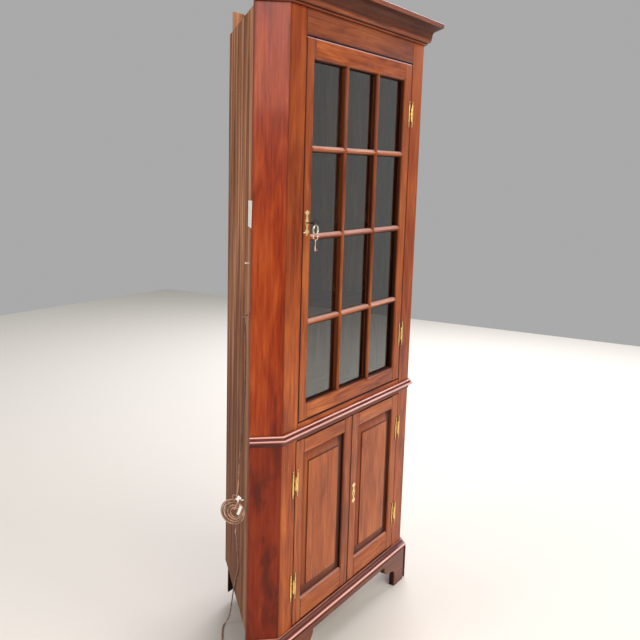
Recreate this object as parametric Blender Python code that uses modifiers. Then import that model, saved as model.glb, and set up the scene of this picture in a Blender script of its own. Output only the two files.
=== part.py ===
"""Glazed corner cabinet: one glazed door above two panelled doors, on bracket feet.

Metres, +Z up, +X to the viewer's right when facing the front, which looks along -Y.
The origin is on the floor, at the middle of the cabinet's width and depth.
In plan the cabinet is a truncated triangle: a front face, two cants at 45 degrees to it,
two wall boards square to the cants, and a narrow back board.
"""
import math

import bmesh
import bpy
from mathutils import Matrix, Vector

# Gaps and cutter allowances
CLEARANCE = 0.0003
OVERRUN = 0.004
MERGE_DISTANCE = 0.00001
MILLIMETRES = 1000

# Plan of the case
FACE_HALF_WIDTH = 0.437
CANT_WIDTH = 0.100
SIDE_LENGTH = 0.497
FRAME_THICKNESS = 0.022
CANT_THICKNESS = 0.022
SIDE_THICKNESS = 0.010
BACK_THICKNESS = 0.010
BOARD_THICKNESS = 0.019

# Heights of the case, from the floor
CASE_TOP = 2.109
CORNICE_RISE = 0.004
CORNICE_HEIGHT = 0.0705
CORNICE_BOTTOM = CASE_TOP + CORNICE_RISE - CORNICE_HEIGHT
CORNICE_PROJECTION = 0.061
FRAME_BOTTOM = 0.120
SIDE_DROP = 0.073
SIDE_TOP = CASE_TOP - SIDE_DROP
SIDE_RAISE = 0.056
BACK_DROP = 0.074
SIDE_BOTTOM = FRAME_BOTTOM + SIDE_RAISE
BACK_BOTTOM = FRAME_BOTTOM - BACK_DROP

# Door openings in the face frame
UPPER_FRAME_STILE = 0.086
LOWER_FRAME_STILE = 0.077
TOP_RAIL = 0.139
WAIST_RAIL = 0.057
BOTTOM_RAIL = 0.040
LOWER_OPENING_HEIGHT = 0.617
UPPER_OPENING_HALF = FACE_HALF_WIDTH - UPPER_FRAME_STILE
LOWER_OPENING_HALF = FACE_HALF_WIDTH - LOWER_FRAME_STILE
LOWER_OPENING_BOTTOM = FRAME_BOTTOM + BOTTOM_RAIL
LOWER_OPENING_TOP = LOWER_OPENING_BOTTOM + LOWER_OPENING_HEIGHT
UPPER_OPENING_BOTTOM = LOWER_OPENING_TOP + WAIST_RAIL
UPPER_OPENING_TOP = CASE_TOP - TOP_RAIL
DOOR_GAP = 0.002
WAIST_BOARD_RISE = 0.018
WAIST_BOARD_HEIGHT = LOWER_OPENING_TOP + WAIST_BOARD_RISE
LOWER_SHELF_SHARE = 0.4214
LOWER_SHELF_HEIGHT = LOWER_OPENING_BOTTOM + LOWER_SHELF_SHARE * LOWER_OPENING_HEIGHT

# Upper door: stiles, rails and the lights between the glazing bars
UPPER_DOOR_THICKNESS = 0.026
UPPER_STILE = 0.0485
UPPER_BOTTOM_RAIL = 0.053
UPPER_TOP_RAIL = 0.061
GLASS_BOTTOM = UPPER_OPENING_BOTTOM + DOOR_GAP + UPPER_BOTTOM_RAIL
GLASS_TOP = UPPER_OPENING_TOP - DOOR_GAP - UPPER_TOP_RAIL
BAR_WIDTH = 0.019
STICKING = 0.0085
REBATE_DEPTH = 0.018
REBATE_WIDTH = 0.0062
GLASS_THICKNESS = 0.003
LIGHT_COLUMNS = 3
LIGHT_ROWS = 4
BEAD_WIDTH = 0.0065

# Lower doors: frames with a raised panel held in a groove
LOWER_DOOR_THICKNESS = 0.022
LOWER_STILE = 0.050
LOWER_TOP_RAIL = 0.052
LOWER_BOTTOM_RAIL = 0.074
PANEL_STICKING = 0.006
GROOVE_START = 0.0095
GROOVE_WIDTH = 0.0066
GROOVE_DEPTH = 0.008
PANEL_BEVEL = 0.034
PANEL_STEP = 0.0025
PANEL_FIELD_DEPTH = 0.003

# Mouldings
WAIST_RISE = 0.006
WAIST_BOTTOM = LOWER_OPENING_TOP + WAIST_RISE
WAIST_HEIGHT = 0.034
WAIST_PROJECTION = 0.0165
BASE_LAP = 0.013
BASE_BOARD_TOP = FRAME_BOTTOM + BASE_LAP
BASE_THICKNESS = 0.022
BASE_MOULDING_HEIGHT = 0.0245

# Bracket feet
APRON_DEPTH = 0.019
FOOT_WIDTH = 0.085
FOOT_BRACKET = 0.040
APRON_EDGE = BASE_BOARD_TOP - APRON_DEPTH
FOOT_INNER = FACE_HALF_WIDTH - FOOT_WIDTH
FOOT_CUSP = FOOT_INNER - FOOT_BRACKET
OGEE_RISE = 0.041
BRACKET_DROP = 0.024
FOOT_CUSP_HEIGHT = APRON_EDGE - OGEE_RISE
FOOT_SHOULDER = FOOT_CUSP_HEIGHT - BRACKET_DROP
FOOT_CUSP_FLAT = 0.012
FOOT_ARC_STEPS = 5
REAR_FOOT_HALF = 0.060
REAR_FOOT_DEPTH = 0.045

# H hinges
HINGE_LENGTH = 0.092
HINGE_BAR_OFFSET = 0.0125
HINGE_BAR_RADIUS = 0.0048
HINGE_BAR_FLATTEN_SHARE = 0.62
HINGE_NECK_RADIUS = 0.0022
HINGE_BALL_RADIUS = 0.0042
HINGE_BALL_LENGTH = 0.009
HINGE_ARM_HEIGHT = 0.036
HINGE_ARM_THICKNESS = 0.0018
KNUCKLE_RADIUS = 0.0032
KNUCKLE_LENGTH = 0.012
PIN_RADIUS = 0.0014
PIN_TIP_RADIUS = 0.0026
UPPER_HINGE_INSET = 0.173
LOWER_HINGE_INSET = 0.136
HINGE_STEPS = 10
BALL_STEPS = 4

# Locks, keys and the left door's bolt
ESCUTCHEON_HEIGHT = 0.078
ESCUTCHEON_HALF_WIDTH = 0.0115
ESCUTCHEON_THICKNESS = 0.0012
UPPER_KEYHOLE_SHARE = 0.5361
LOWER_KEYHOLE_SHARE = 0.5300
UPPER_KEYHOLE_HEIGHT = UPPER_OPENING_BOTTOM + UPPER_KEYHOLE_SHARE * (UPPER_OPENING_TOP - UPPER_OPENING_BOTTOM)
LOWER_KEYHOLE_HEIGHT = LOWER_OPENING_BOTTOM + LOWER_KEYHOLE_SHARE * LOWER_OPENING_HEIGHT
KEYHOLE_RADIUS = 0.0030
KEYHOLE_SLOT_WIDTH = 0.0024
KEYHOLE_SLOT_LENGTH = 0.0095
MORTISE_DEPTH = 0.034
MORTISE_DROP = 0.012
MORTISE_SPACE = 0.0015
KEEPER_DEPTH = 0.012
BOLT_HEIGHT = 0.014
BOLT_THICKNESS = 0.0055
BOLT_LENGTH = 0.014
BOLT_RISE = 0.019
KEY_SHANK_RADIUS = 0.0020
KEY_REACH = 0.0230
KEY_BOW_RADIUS = 0.0080
KEY_BOW_WIRE = 0.0014
KEY_BIT_LENGTH = 0.0085
KEY_BIT_WIDTH = 0.0050
KEY_BIT_THICKNESS = 0.0014
KEY_RING_RADIUS = 0.0140
KEY_RING_WIRE = 0.0009
SPARE_KEY_LENGTH = 0.034
KEY_BOW_STEPS = 14
KEY_RING_STEPS = 20
KEY_WIRE_STEPS = 1
DOOR_BOLT_WIDTH = 0.012
DOOR_BOLT_LENGTH = 0.045
DOOR_BOLT_THICKNESS = 0.006

# Interior light
CAN_RADIUS = 0.034
CAN_HEIGHT = 0.058
CAN_FLANGE = 0.007
CAN_FLANGE_THICKNESS = 0.002
CAN_BACK_OFFSET = 0.170
LENS_RADIUS = 0.030
LENS_DROP = 0.006
LENS_STEPS = 4

# Lamp cord, its coil and its plug
CORD_DIAMETER = 0.0045
CORD_EXIT_ALONG = 0.030
CORD_EXIT_HEIGHT = 1.180
CORD_HOLE_SPACE = 0.0010
COIL_OUTER = 0.0405
COIL_IN_TURNS = 3.0
COIL_CLIMB_TURNS = 0.75
COIL_OUT_TURNS = 2.75
COIL_RADIAL_PITCH = 0.0080
COIL_LAYER_PITCH = 0.0058
COIL_LEAN_SHARE = 0.35
COIL_TURN_POINTS = 24
COIL_ALONG = 0.020
COIL_OUT = 0.0425
COIL_HEIGHT = 0.575
COIL_TURN_DEGREES = 30.0
ROUTE_STEP_DIAMETERS = 3
ROUTE_FINENESS = 4
TIE_WIDTH = 0.006
TIE_WALL = 0.0012
TIE_TURN_DEGREES = 26.0
TIE_INSIDE = 0.0135
TIE_OUTSIDE = 0.0385
PLUG_LENGTH = 0.030
PLUG_WIDTH = 0.022
PLUG_THICKNESS = 0.014
PLUG_BLADE_LENGTH = 0.017
PLUG_BLADE_WIDTH = 0.0062
PLUG_BLADE_THICKNESS = 0.0015
PLUG_BLADE_SPACING = 0.0127

# Plan geometry that follows from the sizes above
ROOT_HALF = math.sqrt(0.5)
QUARTER = math.radians(45)
MITRE = math.tan(QUARTER / 2)
CANT_RUN = CANT_WIDTH * ROOT_HALF
SIDE_RUN = SIDE_LENGTH * ROOT_HALF
BACK_Y = CANT_RUN + SIDE_RUN
CASE_HALF_WIDTH = FACE_HALF_WIDTH + CANT_RUN
BACK_HALF_WIDTH = CASE_HALF_WIDTH - SIDE_RUN
FRONT_Y = (CORNICE_PROJECTION - BACK_Y) / 2

# Profiles, as shares of a moulding's projection and height, from the bottom up
CORNICE_BED_SHARES = [(0, 0), (0.11, 0), (0.16, 0.02), (0.175, 0.05), (0.15, 0.08), (0.24, 0.09),
                      (0.31, 0.13), (0.355, 0.19), (0.375, 0.26), (0.38, 0.33), (0.41, 0.345), (0.41, 0.40)]
CORNICE_COVE_SHARES = (0.41, 0.40, 0.90, 0.79)
CORNICE_TOP_SHARES = [(1, 0.80), (1, 1), (0, 1)]
WAIST_SHARES = [(0, 0), (0.12, 0.02), (0.20, 0.14), (0.42, 0.26), (0.62, 0.34), (0.88, 0.42), (1, 0.52), (1, 0.62),
                (0.90, 0.70), (0.62, 0.72), (0.52, 0.76), (0.58, 0.84), (0.50, 0.94), (0.30, 1), (0, 1)]
BASE_SHARES = [(0, 0), (0.98, 0), (1, 0.10), (0.98, 0.24), (0.86, 0.36), (0.66, 0.42), (0.56, 0.46), (0.50, 0.56),
               (0.50, 0.68), (0.40, 0.80), (0.22, 0.88), (0.14, 0.94), (0.12, 1), (0, 1)]
# Half of the escutcheon's outline, as shares of its half width and half height, from the top down
ESCUTCHEON_SHARES = [(0.06, 1), (0.20, 0.93), (0.34, 0.88), (0.90, 0.84), (1, 0.74), (0.78, 0.66), (0.42, 0.60),
                     (0.36, 0.48), (0.46, 0.36), (0.52, 0.26), (0.68, 0.16), (0.74, 0.02), (0.66, -0.12), (0.44, -0.24),
                     (0.36, -0.40), (0.42, -0.52), (0.84, -0.60), (1, -0.70), (0.84, -0.80), (0.40, -0.82),
                     (0.26, -0.90), (0.08, -1)]
COVE_STEPS = 6

# The cord's free stretches, in the left wall board's frame: along the board, out from it, and up.
# The drop starts at its hole in the board and ends above the coil's top; the tail starts under the coil.
DROP_ROUTE = [(0.0300, 0.0125, 1.1750), (0.0300, 0.0138, 1.1640), (0.0296, 0.0118, 1.1450), (0.0287, 0.0092, 1.1150),
              (0.0266, 0.0088, 1.0500), (0.0244, 0.0096, 0.9700), (0.0240, 0.0122, 0.8950), (0.0258, 0.0175, 0.8250),
              (0.0268, 0.0222, 0.7600), (0.0252, 0.0256, 0.7000), (0.0218, 0.0275, 0.6550)]
TAIL_ROUTE = [(0.0240, 0.0340, 0.5080), (0.0450, 0.0270, 0.4800), (0.0850, 0.0180, 0.4250), (0.1280, 0.0090, 0.3680),
              (0.1620, 0.0040, 0.3120), (0.2220, 0.0032, 0.2400), (0.2660, 0.0032, 0.1780), (0.3020, 0.0032, 0.1150),
              (0.3300, 0.0036, 0.0650), (0.3500, 0.0060, 0.0320), (0.3600, 0.0110, 0.0120), (0.3585, 0.0190, 0.0040)]
# The stretch on the floor, along the board and out from it
FLOOR_ROUTE = [(0.3450, 0.0265), (0.3155, 0.0335), (0.2880, 0.0375), (0.2580, 0.0420), (0.2200, 0.0520),
               (0.1800, 0.0620), (0.1400, 0.0660), (0.1050, 0.0600), (0.0750, 0.0520)]

CABINET = bpy.data.collections.new("corner_cabinet")
CUTTERS = bpy.data.collections.new("cutters")


def clear_scene():
    """Start from an empty scene without closing the file."""
    for item in list(bpy.data.objects):
        bpy.data.objects.remove(item)
    bpy.context.scene.collection.children.link(CABINET)
    bpy.context.scene.collection.children.link(CUTTERS)


def make_material(name, colour, roughness, metallic=0.0, alpha=1.0):
    material = bpy.data.materials.new(name)
    material.use_nodes = True
    shader = material.node_tree.nodes["Principled BSDF"]
    shader.inputs["Base Color"].default_value = (*colour, 1.0)
    shader.inputs["Roughness"].default_value = roughness
    shader.inputs["Metallic"].default_value = metallic
    shader.inputs["Alpha"].default_value = alpha
    return material


CHERRY = make_material("finished_cherry", (0.30, 0.085, 0.035), 0.35)
RAW_WOOD = make_material("raw_board", (0.22, 0.13, 0.08), 0.8)
INNER_WOOD = make_material("shelf_wood", (0.30, 0.12, 0.06), 0.5)
GLASS = make_material("glass", (0.8, 0.85, 0.85), 0.05, alpha=0.35)
BRASS = make_material("brass", (0.78, 0.52, 0.22), 0.25, metallic=1.0)
CORD_BROWN = make_material("brown_cord", (0.09, 0.05, 0.03), 0.5)
WHITE_PLASTIC = make_material("white_plastic", (0.8, 0.8, 0.78), 0.5)


class Body:
    """A group of pieces that moves together, on an empty at its joint."""

    def __init__(self, name, origin, parent=None):
        self.origin = Vector(origin)
        self.empty = bpy.data.objects.new(name, None)
        CABINET.objects.link(self.empty)
        if parent is None:
            self.empty.location = (0, FRONT_Y, 0)
        else:
            self.empty.parent = parent.empty
            self.empty.location = self.origin - parent.origin


def place(piece, body, material, location=(0, 0, 0), collection=CABINET):
    """Hang a piece on its body; location is from the middle of the front plane, at the floor."""
    collection.objects.link(piece)
    piece.parent = body.empty
    piece.location = Vector(location) - body.origin
    if material is not None and hasattr(piece.data, "materials"):
        piece.data.materials.clear()
        piece.data.materials.append(material)
    return piece


def finish_mesh(bm, name):
    """Weld a bmesh, point its faces outwards and return it as a mesh."""
    bmesh.ops.remove_doubles(bm, verts=bm.verts, dist=MERGE_DISTANCE)
    bmesh.ops.recalc_face_normals(bm, faces=bm.faces)
    mesh = bpy.data.meshes.new(name)
    bm.to_mesh(mesh)
    bm.free()
    return mesh


def box_mesh(low, high):
    """A box between two corners."""
    bm = bmesh.new()
    bmesh.ops.create_cube(bm, size=1)
    low, high = Vector(low), Vector(high)
    bmesh.ops.scale(bm, vec=high - low, verts=bm.verts)
    bmesh.ops.translate(bm, vec=(low + high) / 2, verts=bm.verts)
    return finish_mesh(bm, "box")


def evaluated_mesh(temporary):
    """The mesh of a temporary curve or modified object, which is then removed."""
    bpy.context.scene.collection.objects.link(temporary)
    graph = bpy.context.evaluated_depsgraph_get()
    mesh = bpy.data.meshes.new_from_object(temporary.evaluated_get(graph))
    bpy.data.objects.remove(temporary)
    bm = bmesh.new()
    bm.from_mesh(mesh)
    return finish_mesh(bm, "evaluated")


def outline_mesh(outline, low, high, axis="Z"):
    """A flat outline carried from low to high. Axis Z takes (x, y), Y takes (x, z), X takes (p, z) with p = -y."""
    curve = bpy.data.curves.new("outline", "CURVE")
    curve.dimensions = "2D"
    curve.fill_mode = "BOTH"
    curve.extrude = (high - low) / 2
    spline = curve.splines.new("POLY")
    spline.points.add(len(outline) - 1)
    for point, (u, v) in zip(spline.points, outline):
        point.co = (u, v, 0, 1)
    spline.use_cyclic_u = True
    mesh = evaluated_mesh(bpy.data.objects.new("outline", curve))
    mesh.transform(Matrix.Translation((0, 0, (low + high) / 2)))
    turn = {"Z": Matrix.Identity(4),
            "Y": Matrix(((1, 0, 0, 0), (0, 0, 1, 0), (0, 1, 0, 0), (0, 0, 0, 1))),
            "X": Matrix(((0, 0, 1, 0), (-1, 0, 0, 0), (0, 1, 0, 0), (0, 0, 0, 1)))}[axis]
    mesh.transform(turn)
    bm = bmesh.new()
    bm.from_mesh(mesh)
    return finish_mesh(bm, "outline")


def loft_mesh(rings):
    """A closed solid through rectangles, each (depth, x low, x high, z low, z high), front to back."""
    bm = bmesh.new()
    loops = []
    for y, x0, x1, z0, z1 in rings:
        loops.append([bm.verts.new(co) for co in ((x0, y, z0), (x1, y, z0), (x1, y, z1), (x0, y, z1))])
    for first, second in zip(loops, loops[1:]):
        for i in range(4):
            j = (i + 1) % 4
            bm.faces.new((first[i], first[j], second[j], second[i]))
    bm.faces.new(loops[0])
    bm.faces.new(loops[-1])
    bmesh.ops.recalc_face_normals(bm, faces=bm.faces)
    mesh = bpy.data.meshes.new("loft")
    bm.to_mesh(mesh)
    bm.free()
    return mesh


def turned_mesh(profile, steps):
    """A profile of (radius, height), listed from the top down, turned about Z with a Screw modifier."""
    mesh = bpy.data.meshes.new("profile")
    mesh.from_pydata([(r, 0, z) for r, z in profile], [(i, i + 1) for i in range(len(profile) - 1)], [])
    temporary = bpy.data.objects.new("profile", mesh)
    screw = temporary.modifiers.new("turn", "SCREW")
    screw.steps = steps
    screw.render_steps = steps
    screw.use_merge_vertices = True
    screw.merge_threshold = MERGE_DISTANCE
    return evaluated_mesh(temporary)


def torus_mesh(radius, wire, ring_steps, wire_steps):
    """A ring of round wire in the XY plane."""
    curve = bpy.data.curves.new("ring", "CURVE")
    curve.dimensions = "3D"
    curve.bevel_depth = wire
    curve.bevel_resolution = wire_steps
    spline = curve.splines.new("POLY")
    spline.points.add(ring_steps - 1)
    for i, point in enumerate(spline.points):
        angle = math.tau * i / ring_steps
        point.co = (radius * math.cos(angle), radius * math.sin(angle), 0, 1)
    spline.use_cyclic_u = True
    return evaluated_mesh(bpy.data.objects.new("ring", curve))


def moved(mesh, matrix):
    """A copy of a mesh under a matrix; a mirror turns its faces outwards again."""
    copy = mesh.copy()
    copy.transform(matrix)
    if matrix.determinant() < 0:
        copy.flip_normals()
    return copy


def joined(*meshes):
    """Several meshes in one, as separate solids."""
    bm = bmesh.new()
    for mesh in meshes:
        bm.from_mesh(mesh)
    result = bpy.data.meshes.new("joined")
    bm.to_mesh(result)
    bm.free()
    return result


def united(first, *others):
    """One solid from overlapping meshes, by Boolean unions."""
    base = bpy.data.objects.new("base", first)
    tools = []
    for mesh in others:
        tool = bpy.data.objects.new("tool", mesh)
        bpy.context.scene.collection.objects.link(tool)
        union = base.modifiers.new("join", "BOOLEAN")
        union.operation = "UNION"
        union.object = tool
        tools.append(tool)
    result = evaluated_mesh(base)
    for tool in tools:
        bpy.data.objects.remove(tool)
    return result


def add_mesh(name, body, material, mesh, smooth=False):
    """A piece whose mesh is given from the middle of the front plane, at the floor."""
    mesh.name = name
    if smooth:
        mesh.shade_smooth()
        mesh.set_sharp_from_angle(angle=QUARTER)
    return place(bpy.data.objects.new(name, mesh), body, material)


def add_box(name, body, material, low, high):
    """A box whose object sits at its middle."""
    low, high = Vector(low), Vector(high)
    half = (high - low) / 2
    piece = bpy.data.objects.new(name, box_mesh(-half, half))
    piece.data.name = name
    return place(piece, body, material, (low + high) / 2)


def add_cutter(name, body, mesh):
    """A cutting solid, which the build leaves out."""
    cutter = place(bpy.data.objects.new(name, mesh), body, None, collection=CUTTERS)
    cutter.hide_render = True
    cutter.display_type = "WIRE"
    return cutter


def cut(pieces, cutter):
    """Take a cutter out of each piece."""
    for piece in pieces:
        difference = piece.modifiers.new("cut_" + cutter.name, "BOOLEAN")
        difference.operation = "DIFFERENCE"
        difference.solver = "EXACT"
        difference.object = cutter


def mirrored_outline(outline, side):
    """The same outline on the right (side 1) or the left (side -1)."""
    return [(side * x, y) for x, y in outline]


def cant_matrix(side):
    """From a cant's own frame, with x from the front corner and y inwards, to the cabinet's."""
    return Matrix.Translation((side * FACE_HALF_WIDTH, 0, 0)) @ Matrix.Rotation(side * QUARTER, 4, "Z")


def side_matrix():
    """From the left wall board's frame, with x along it to the rear and y out from it, to the cabinet's."""
    return Matrix.Translation((-CASE_HALF_WIDTH, CANT_RUN, 0)) @ Matrix.Rotation(QUARTER, 4, "Z")


def cant_inner_x(y, depth):
    """The x of the cant's plane at y, moved inwards by depth."""
    return FACE_HALF_WIDTH + y - depth / ROOT_HALF


def side_inner_x(y, depth):
    """The x of the wall board's plane at y, moved inwards by depth."""
    return CASE_HALF_WIDTH + CANT_RUN - y - depth / ROOT_HALF


def inner_plan(front, gap=CLEARANCE):
    """The plan of a board that fills the case behind y = front, with a gap all round."""
    cant_depth = CANT_THICKNESS + gap
    side_depth = SIDE_THICKNESS + gap
    corner_y = CANT_RUN + (cant_depth - side_depth) * ROOT_HALF
    rear_y = BACK_Y - BACK_THICKNESS - gap
    half = [(cant_inner_x(front, cant_depth), front), (cant_inner_x(corner_y, cant_depth), corner_y),
            (side_inner_x(rear_y, side_depth), rear_y)]
    return half + [(-x, y) for x, y in reversed(half)]


def build_case(root):
    """Wall boards, back, cants, face frame, boards and shelves."""
    back = [(side_inner_x(BACK_Y - BACK_THICKNESS, SIDE_THICKNESS + CLEARANCE), BACK_Y - BACK_THICKNESS),
            (side_inner_x(BACK_Y, SIDE_THICKNESS + CLEARANCE), BACK_Y)]
    back += [(-x, y) for x, y in reversed(back)]
    add_mesh("back_board", root, RAW_WOOD, outline_mesh(back, BACK_BOTTOM, CASE_TOP))
    # A wall board stands against the inner face of its cant and runs to the rear corner.
    start_y = CANT_RUN + (CANT_THICKNESS + CLEARANCE) * ROOT_HALF
    wall = [(side_inner_x(start_y, 0), start_y), (side_inner_x(BACK_Y, 0), BACK_Y),
            (side_inner_x(BACK_Y, SIDE_THICKNESS), BACK_Y)]
    inner_y = start_y - SIDE_THICKNESS * ROOT_HALF
    wall.append((side_inner_x(inner_y, SIDE_THICKNESS), inner_y))
    boards = {}
    for word, side in (("left", -1), ("right", 1)):
        outline = mirrored_outline(wall, side)
        boards[word] = add_mesh("side_board_" + word, root, RAW_WOOD, outline_mesh(outline, SIDE_BOTTOM, SIDE_TOP))
    # A cant's front edge is cut on the mitre with the face frame.
    gap = CLEARANCE / 2
    cant = [(gap, 0), (CANT_WIDTH, 0), (CANT_WIDTH, CANT_THICKNESS),
            (gap + MITRE * CANT_THICKNESS, CANT_THICKNESS)]
    for word, side in (("left", -1), ("right", 1)):
        mesh = outline_mesh(mirrored_outline(cant, side), FRAME_BOTTOM, CASE_TOP)
        add_mesh("cant_" + word, root, CHERRY, moved(mesh, cant_matrix(side)))
    # Face frame: stiles stepped at the waist, and three rails between them.
    outer = FACE_HALF_WIDTH - gap
    stile = [(LOWER_OPENING_HALF, FRAME_BOTTOM), (outer, FRAME_BOTTOM), (outer, CASE_TOP),
             (UPPER_OPENING_HALF, CASE_TOP), (UPPER_OPENING_HALF, LOWER_OPENING_TOP),
             (LOWER_OPENING_HALF, LOWER_OPENING_TOP)]
    stiles = {}
    rails = {}
    for word, side in (("left", -1), ("right", 1)):
        mesh = outline_mesh(mirrored_outline(stile, side), 0, FRAME_THICKNESS, "Y")
        for vertex in mesh.vertices:
            if abs(abs(vertex.co.x) - outer) < MERGE_DISTANCE:
                vertex.co.x -= side * MITRE * vertex.co.y
        stiles[word] = add_mesh("frame_stile_" + word, root, CHERRY, mesh)
    upper_half = UPPER_OPENING_HALF - CLEARANCE
    lower_half = LOWER_OPENING_HALF - CLEARANCE
    for word, half, low, high in (("top", upper_half, UPPER_OPENING_TOP, CASE_TOP),
                                  ("waist", upper_half, LOWER_OPENING_TOP, UPPER_OPENING_BOTTOM),
                                  ("bottom", lower_half, FRAME_BOTTOM, LOWER_OPENING_BOTTOM)):
        rails[word] = add_box("frame_rail_" + word, root, CHERRY, (-half, 0, low), (half, FRAME_THICKNESS, high))
    behind_frame = FRAME_THICKNESS + CLEARANCE
    behind_door = UPPER_DOOR_THICKNESS + CLEARANCE
    top_board = add_mesh("top_board", root, INNER_WOOD,
                         outline_mesh(inner_plan(behind_frame), SIDE_TOP - BOARD_THICKNESS, SIDE_TOP))
    add_mesh("waist_board", root, INNER_WOOD,
             outline_mesh(inner_plan(behind_frame), WAIST_BOARD_HEIGHT, WAIST_BOARD_HEIGHT + BOARD_THICKNESS))
    add_mesh("bottom_board", root, INNER_WOOD,
             outline_mesh(inner_plan(behind_frame), SIDE_BOTTOM, SIDE_BOTTOM + BOARD_THICKNESS))
    add_mesh("lower_shelf", root, INNER_WOOD,
             outline_mesh(inner_plan(behind_frame), LOWER_SHELF_HEIGHT, LOWER_SHELF_HEIGHT + BOARD_THICKNESS))
    half = BOARD_THICKNESS / 2
    for number, height in enumerate(bar_heights(), 1):
        add_mesh("upper_shelf_%d" % number, root, INNER_WOOD,
                 outline_mesh(inner_plan(behind_door), height - half, height + half))
    return boards["left"], stiles["left"], rails["waist"], top_board


def cornice_profile():
    """Bed mouldings, a quarter-round cove and the top fascia, as (projection, height)."""
    shares = list(CORNICE_BED_SHARES)
    x0, z0, x1, z1 = CORNICE_COVE_SHARES
    for step in range(1, COVE_STEPS + 1):
        angle = math.pi / 2 * step / COVE_STEPS
        shares.append((x0 + (x1 - x0) * (1 - math.cos(angle)), z0 + (z1 - z0) * math.sin(angle)))
    shares += CORNICE_TOP_SHARES
    return [(p * CORNICE_PROJECTION, CORNICE_BOTTOM + z * CORNICE_HEIGHT) for p, z in shares]


def moulding_mesh(profile, x_low, x_high, mitre_low, mitre_high):
    """A profile along x, with its ends square or cut on the mitre of a 45 degree corner."""
    lifted = [(p + CLEARANCE, z) for p, z in profile]
    mesh = outline_mesh(lifted, x_low, x_high, "X")
    for vertex in mesh.vertices:
        projection = -vertex.co.y
        if mitre_high and abs(vertex.co.x - x_high) < MERGE_DISTANCE:
            vertex.co.x += MITRE * projection
        elif mitre_low and abs(vertex.co.x - x_low) < MERGE_DISTANCE:
            vertex.co.x -= MITRE * projection
    return mesh


def add_moulding(name, root, profile):
    """A moulding that runs along one cant, across the front and along the other cant, mitred at both corners."""
    reach = FACE_HALF_WIDTH + CANT_WIDTH
    bm = bmesh.new()
    bm.from_mesh(outline_mesh([(p + CLEARANCE, z) for p, z in profile], -reach, reach, "X"))
    for side in (-1, 1):
        geometry = bm.verts[:] + bm.edges[:] + bm.faces[:]
        bmesh.ops.bisect_plane(bm, geom=geometry, plane_co=(side * FACE_HALF_WIDTH, 0, 0), plane_no=(1, 0, 0))
    for vertex in bm.verts:
        side = math.copysign(1, vertex.co.x)
        along = abs(vertex.co.x) - FACE_HALF_WIDTH
        projection = -vertex.co.y
        if abs(along) < MERGE_DISTANCE:
            vertex.co.x += side * MITRE * projection
        elif along > 0:
            vertex.co.x = side * (FACE_HALF_WIDTH + (along + projection) * ROOT_HALF)
            vertex.co.y = (along - projection) * ROOT_HALF
    add_mesh(name, root, CHERRY, finish_mesh(bm, name))


def build_mouldings(root):
    add_moulding("cornice", root, cornice_profile())
    add_moulding("waist_moulding", root,
                 [(p * WAIST_PROJECTION, WAIST_BOTTOM + z * WAIST_HEIGHT) for p, z in WAIST_SHARES])
    base_low = BASE_BOARD_TOP + CLEARANCE
    add_moulding("base_moulding", root,
                 [(p * BASE_THICKNESS, base_low + z * BASE_MOULDING_HEIGHT) for p, z in BASE_SHARES])


def build_base(root):
    """The shaped front board, the two cant feet and the blocks that carry the case."""
    half = FACE_HALF_WIDTH - CLEARANCE / 2
    right = [(FOOT_INNER, 0), (FOOT_INNER, FOOT_SHOULDER)]
    for step in range(1, FOOT_ARC_STEPS + 1):
        angle = math.pi / 2 * step / FOOT_ARC_STEPS
        right.append((FOOT_CUSP + (FOOT_INNER - FOOT_CUSP) * math.cos(angle),
                      FOOT_SHOULDER + (FOOT_CUSP_HEIGHT - FOOT_SHOULDER) * math.sin(angle)))
    start = FOOT_CUSP - FOOT_CUSP_FLAT
    rise = APRON_EDGE - FOOT_CUSP_HEIGHT
    right.append((start, FOOT_CUSP_HEIGHT))
    for step in range(1, FOOT_ARC_STEPS + 1):
        angle = math.pi / 2 * step / FOOT_ARC_STEPS
        right.append((start - rise * math.sin(angle), APRON_EDGE - rise * math.cos(angle)))
    outline = [(half, 0)] + right + [(-x, z) for x, z in reversed(right)] + [(-half, 0)]
    outline += [(-half, BASE_BOARD_TOP), (half, BASE_BOARD_TOP)]
    mesh = outline_mesh(outline, -CLEARANCE - BASE_THICKNESS, -CLEARANCE, "Y")
    for vertex in mesh.vertices:
        if abs(abs(vertex.co.x) - half) < MERGE_DISTANCE:
            vertex.co.x -= math.copysign(MITRE * vertex.co.y, vertex.co.x)
    add_mesh("base_apron", root, CHERRY, mesh)
    board = [(0, 0), (BASE_THICKNESS, 0), (BASE_THICKNESS, BASE_BOARD_TOP), (0, BASE_BOARD_TOP)]
    gap = CLEARANCE / 2
    left = moulding_mesh(board, -CANT_WIDTH, -gap, False, True)
    add_mesh("base_foot_left", root, CHERRY, moved(left, cant_matrix(-1)))
    right = moulding_mesh(board, gap, CANT_WIDTH, True, False)
    add_mesh("base_foot_right", root, CHERRY, moved(right, cant_matrix(1)))
    # One block in front of the back board carries the rear.
    rear_y = BACK_Y - BACK_THICKNESS - CLEARANCE
    add_box("rear_foot", root, RAW_WOOD, (-REAR_FOOT_HALF, rear_y - REAR_FOOT_DEPTH, 0),
            (REAR_FOOT_HALF, rear_y, SIDE_BOTTOM - CLEARANCE))


def bar_positions():
    """The x of the two upright glazing bars."""
    half = UPPER_OPENING_HALF - DOOR_GAP - UPPER_STILE
    pitch = (2 * half + BAR_WIDTH) / LIGHT_COLUMNS
    return [-half - BAR_WIDTH / 2 + pitch * i for i in range(1, LIGHT_COLUMNS)]


def bar_heights():
    """The z of the three cross bars, where the upper shelves also lie."""
    pitch = (GLASS_TOP - GLASS_BOTTOM + BAR_WIDTH) / LIGHT_ROWS
    return [GLASS_BOTTOM - BAR_WIDTH / 2 + pitch * i for i in range(1, LIGHT_ROWS)]


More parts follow.
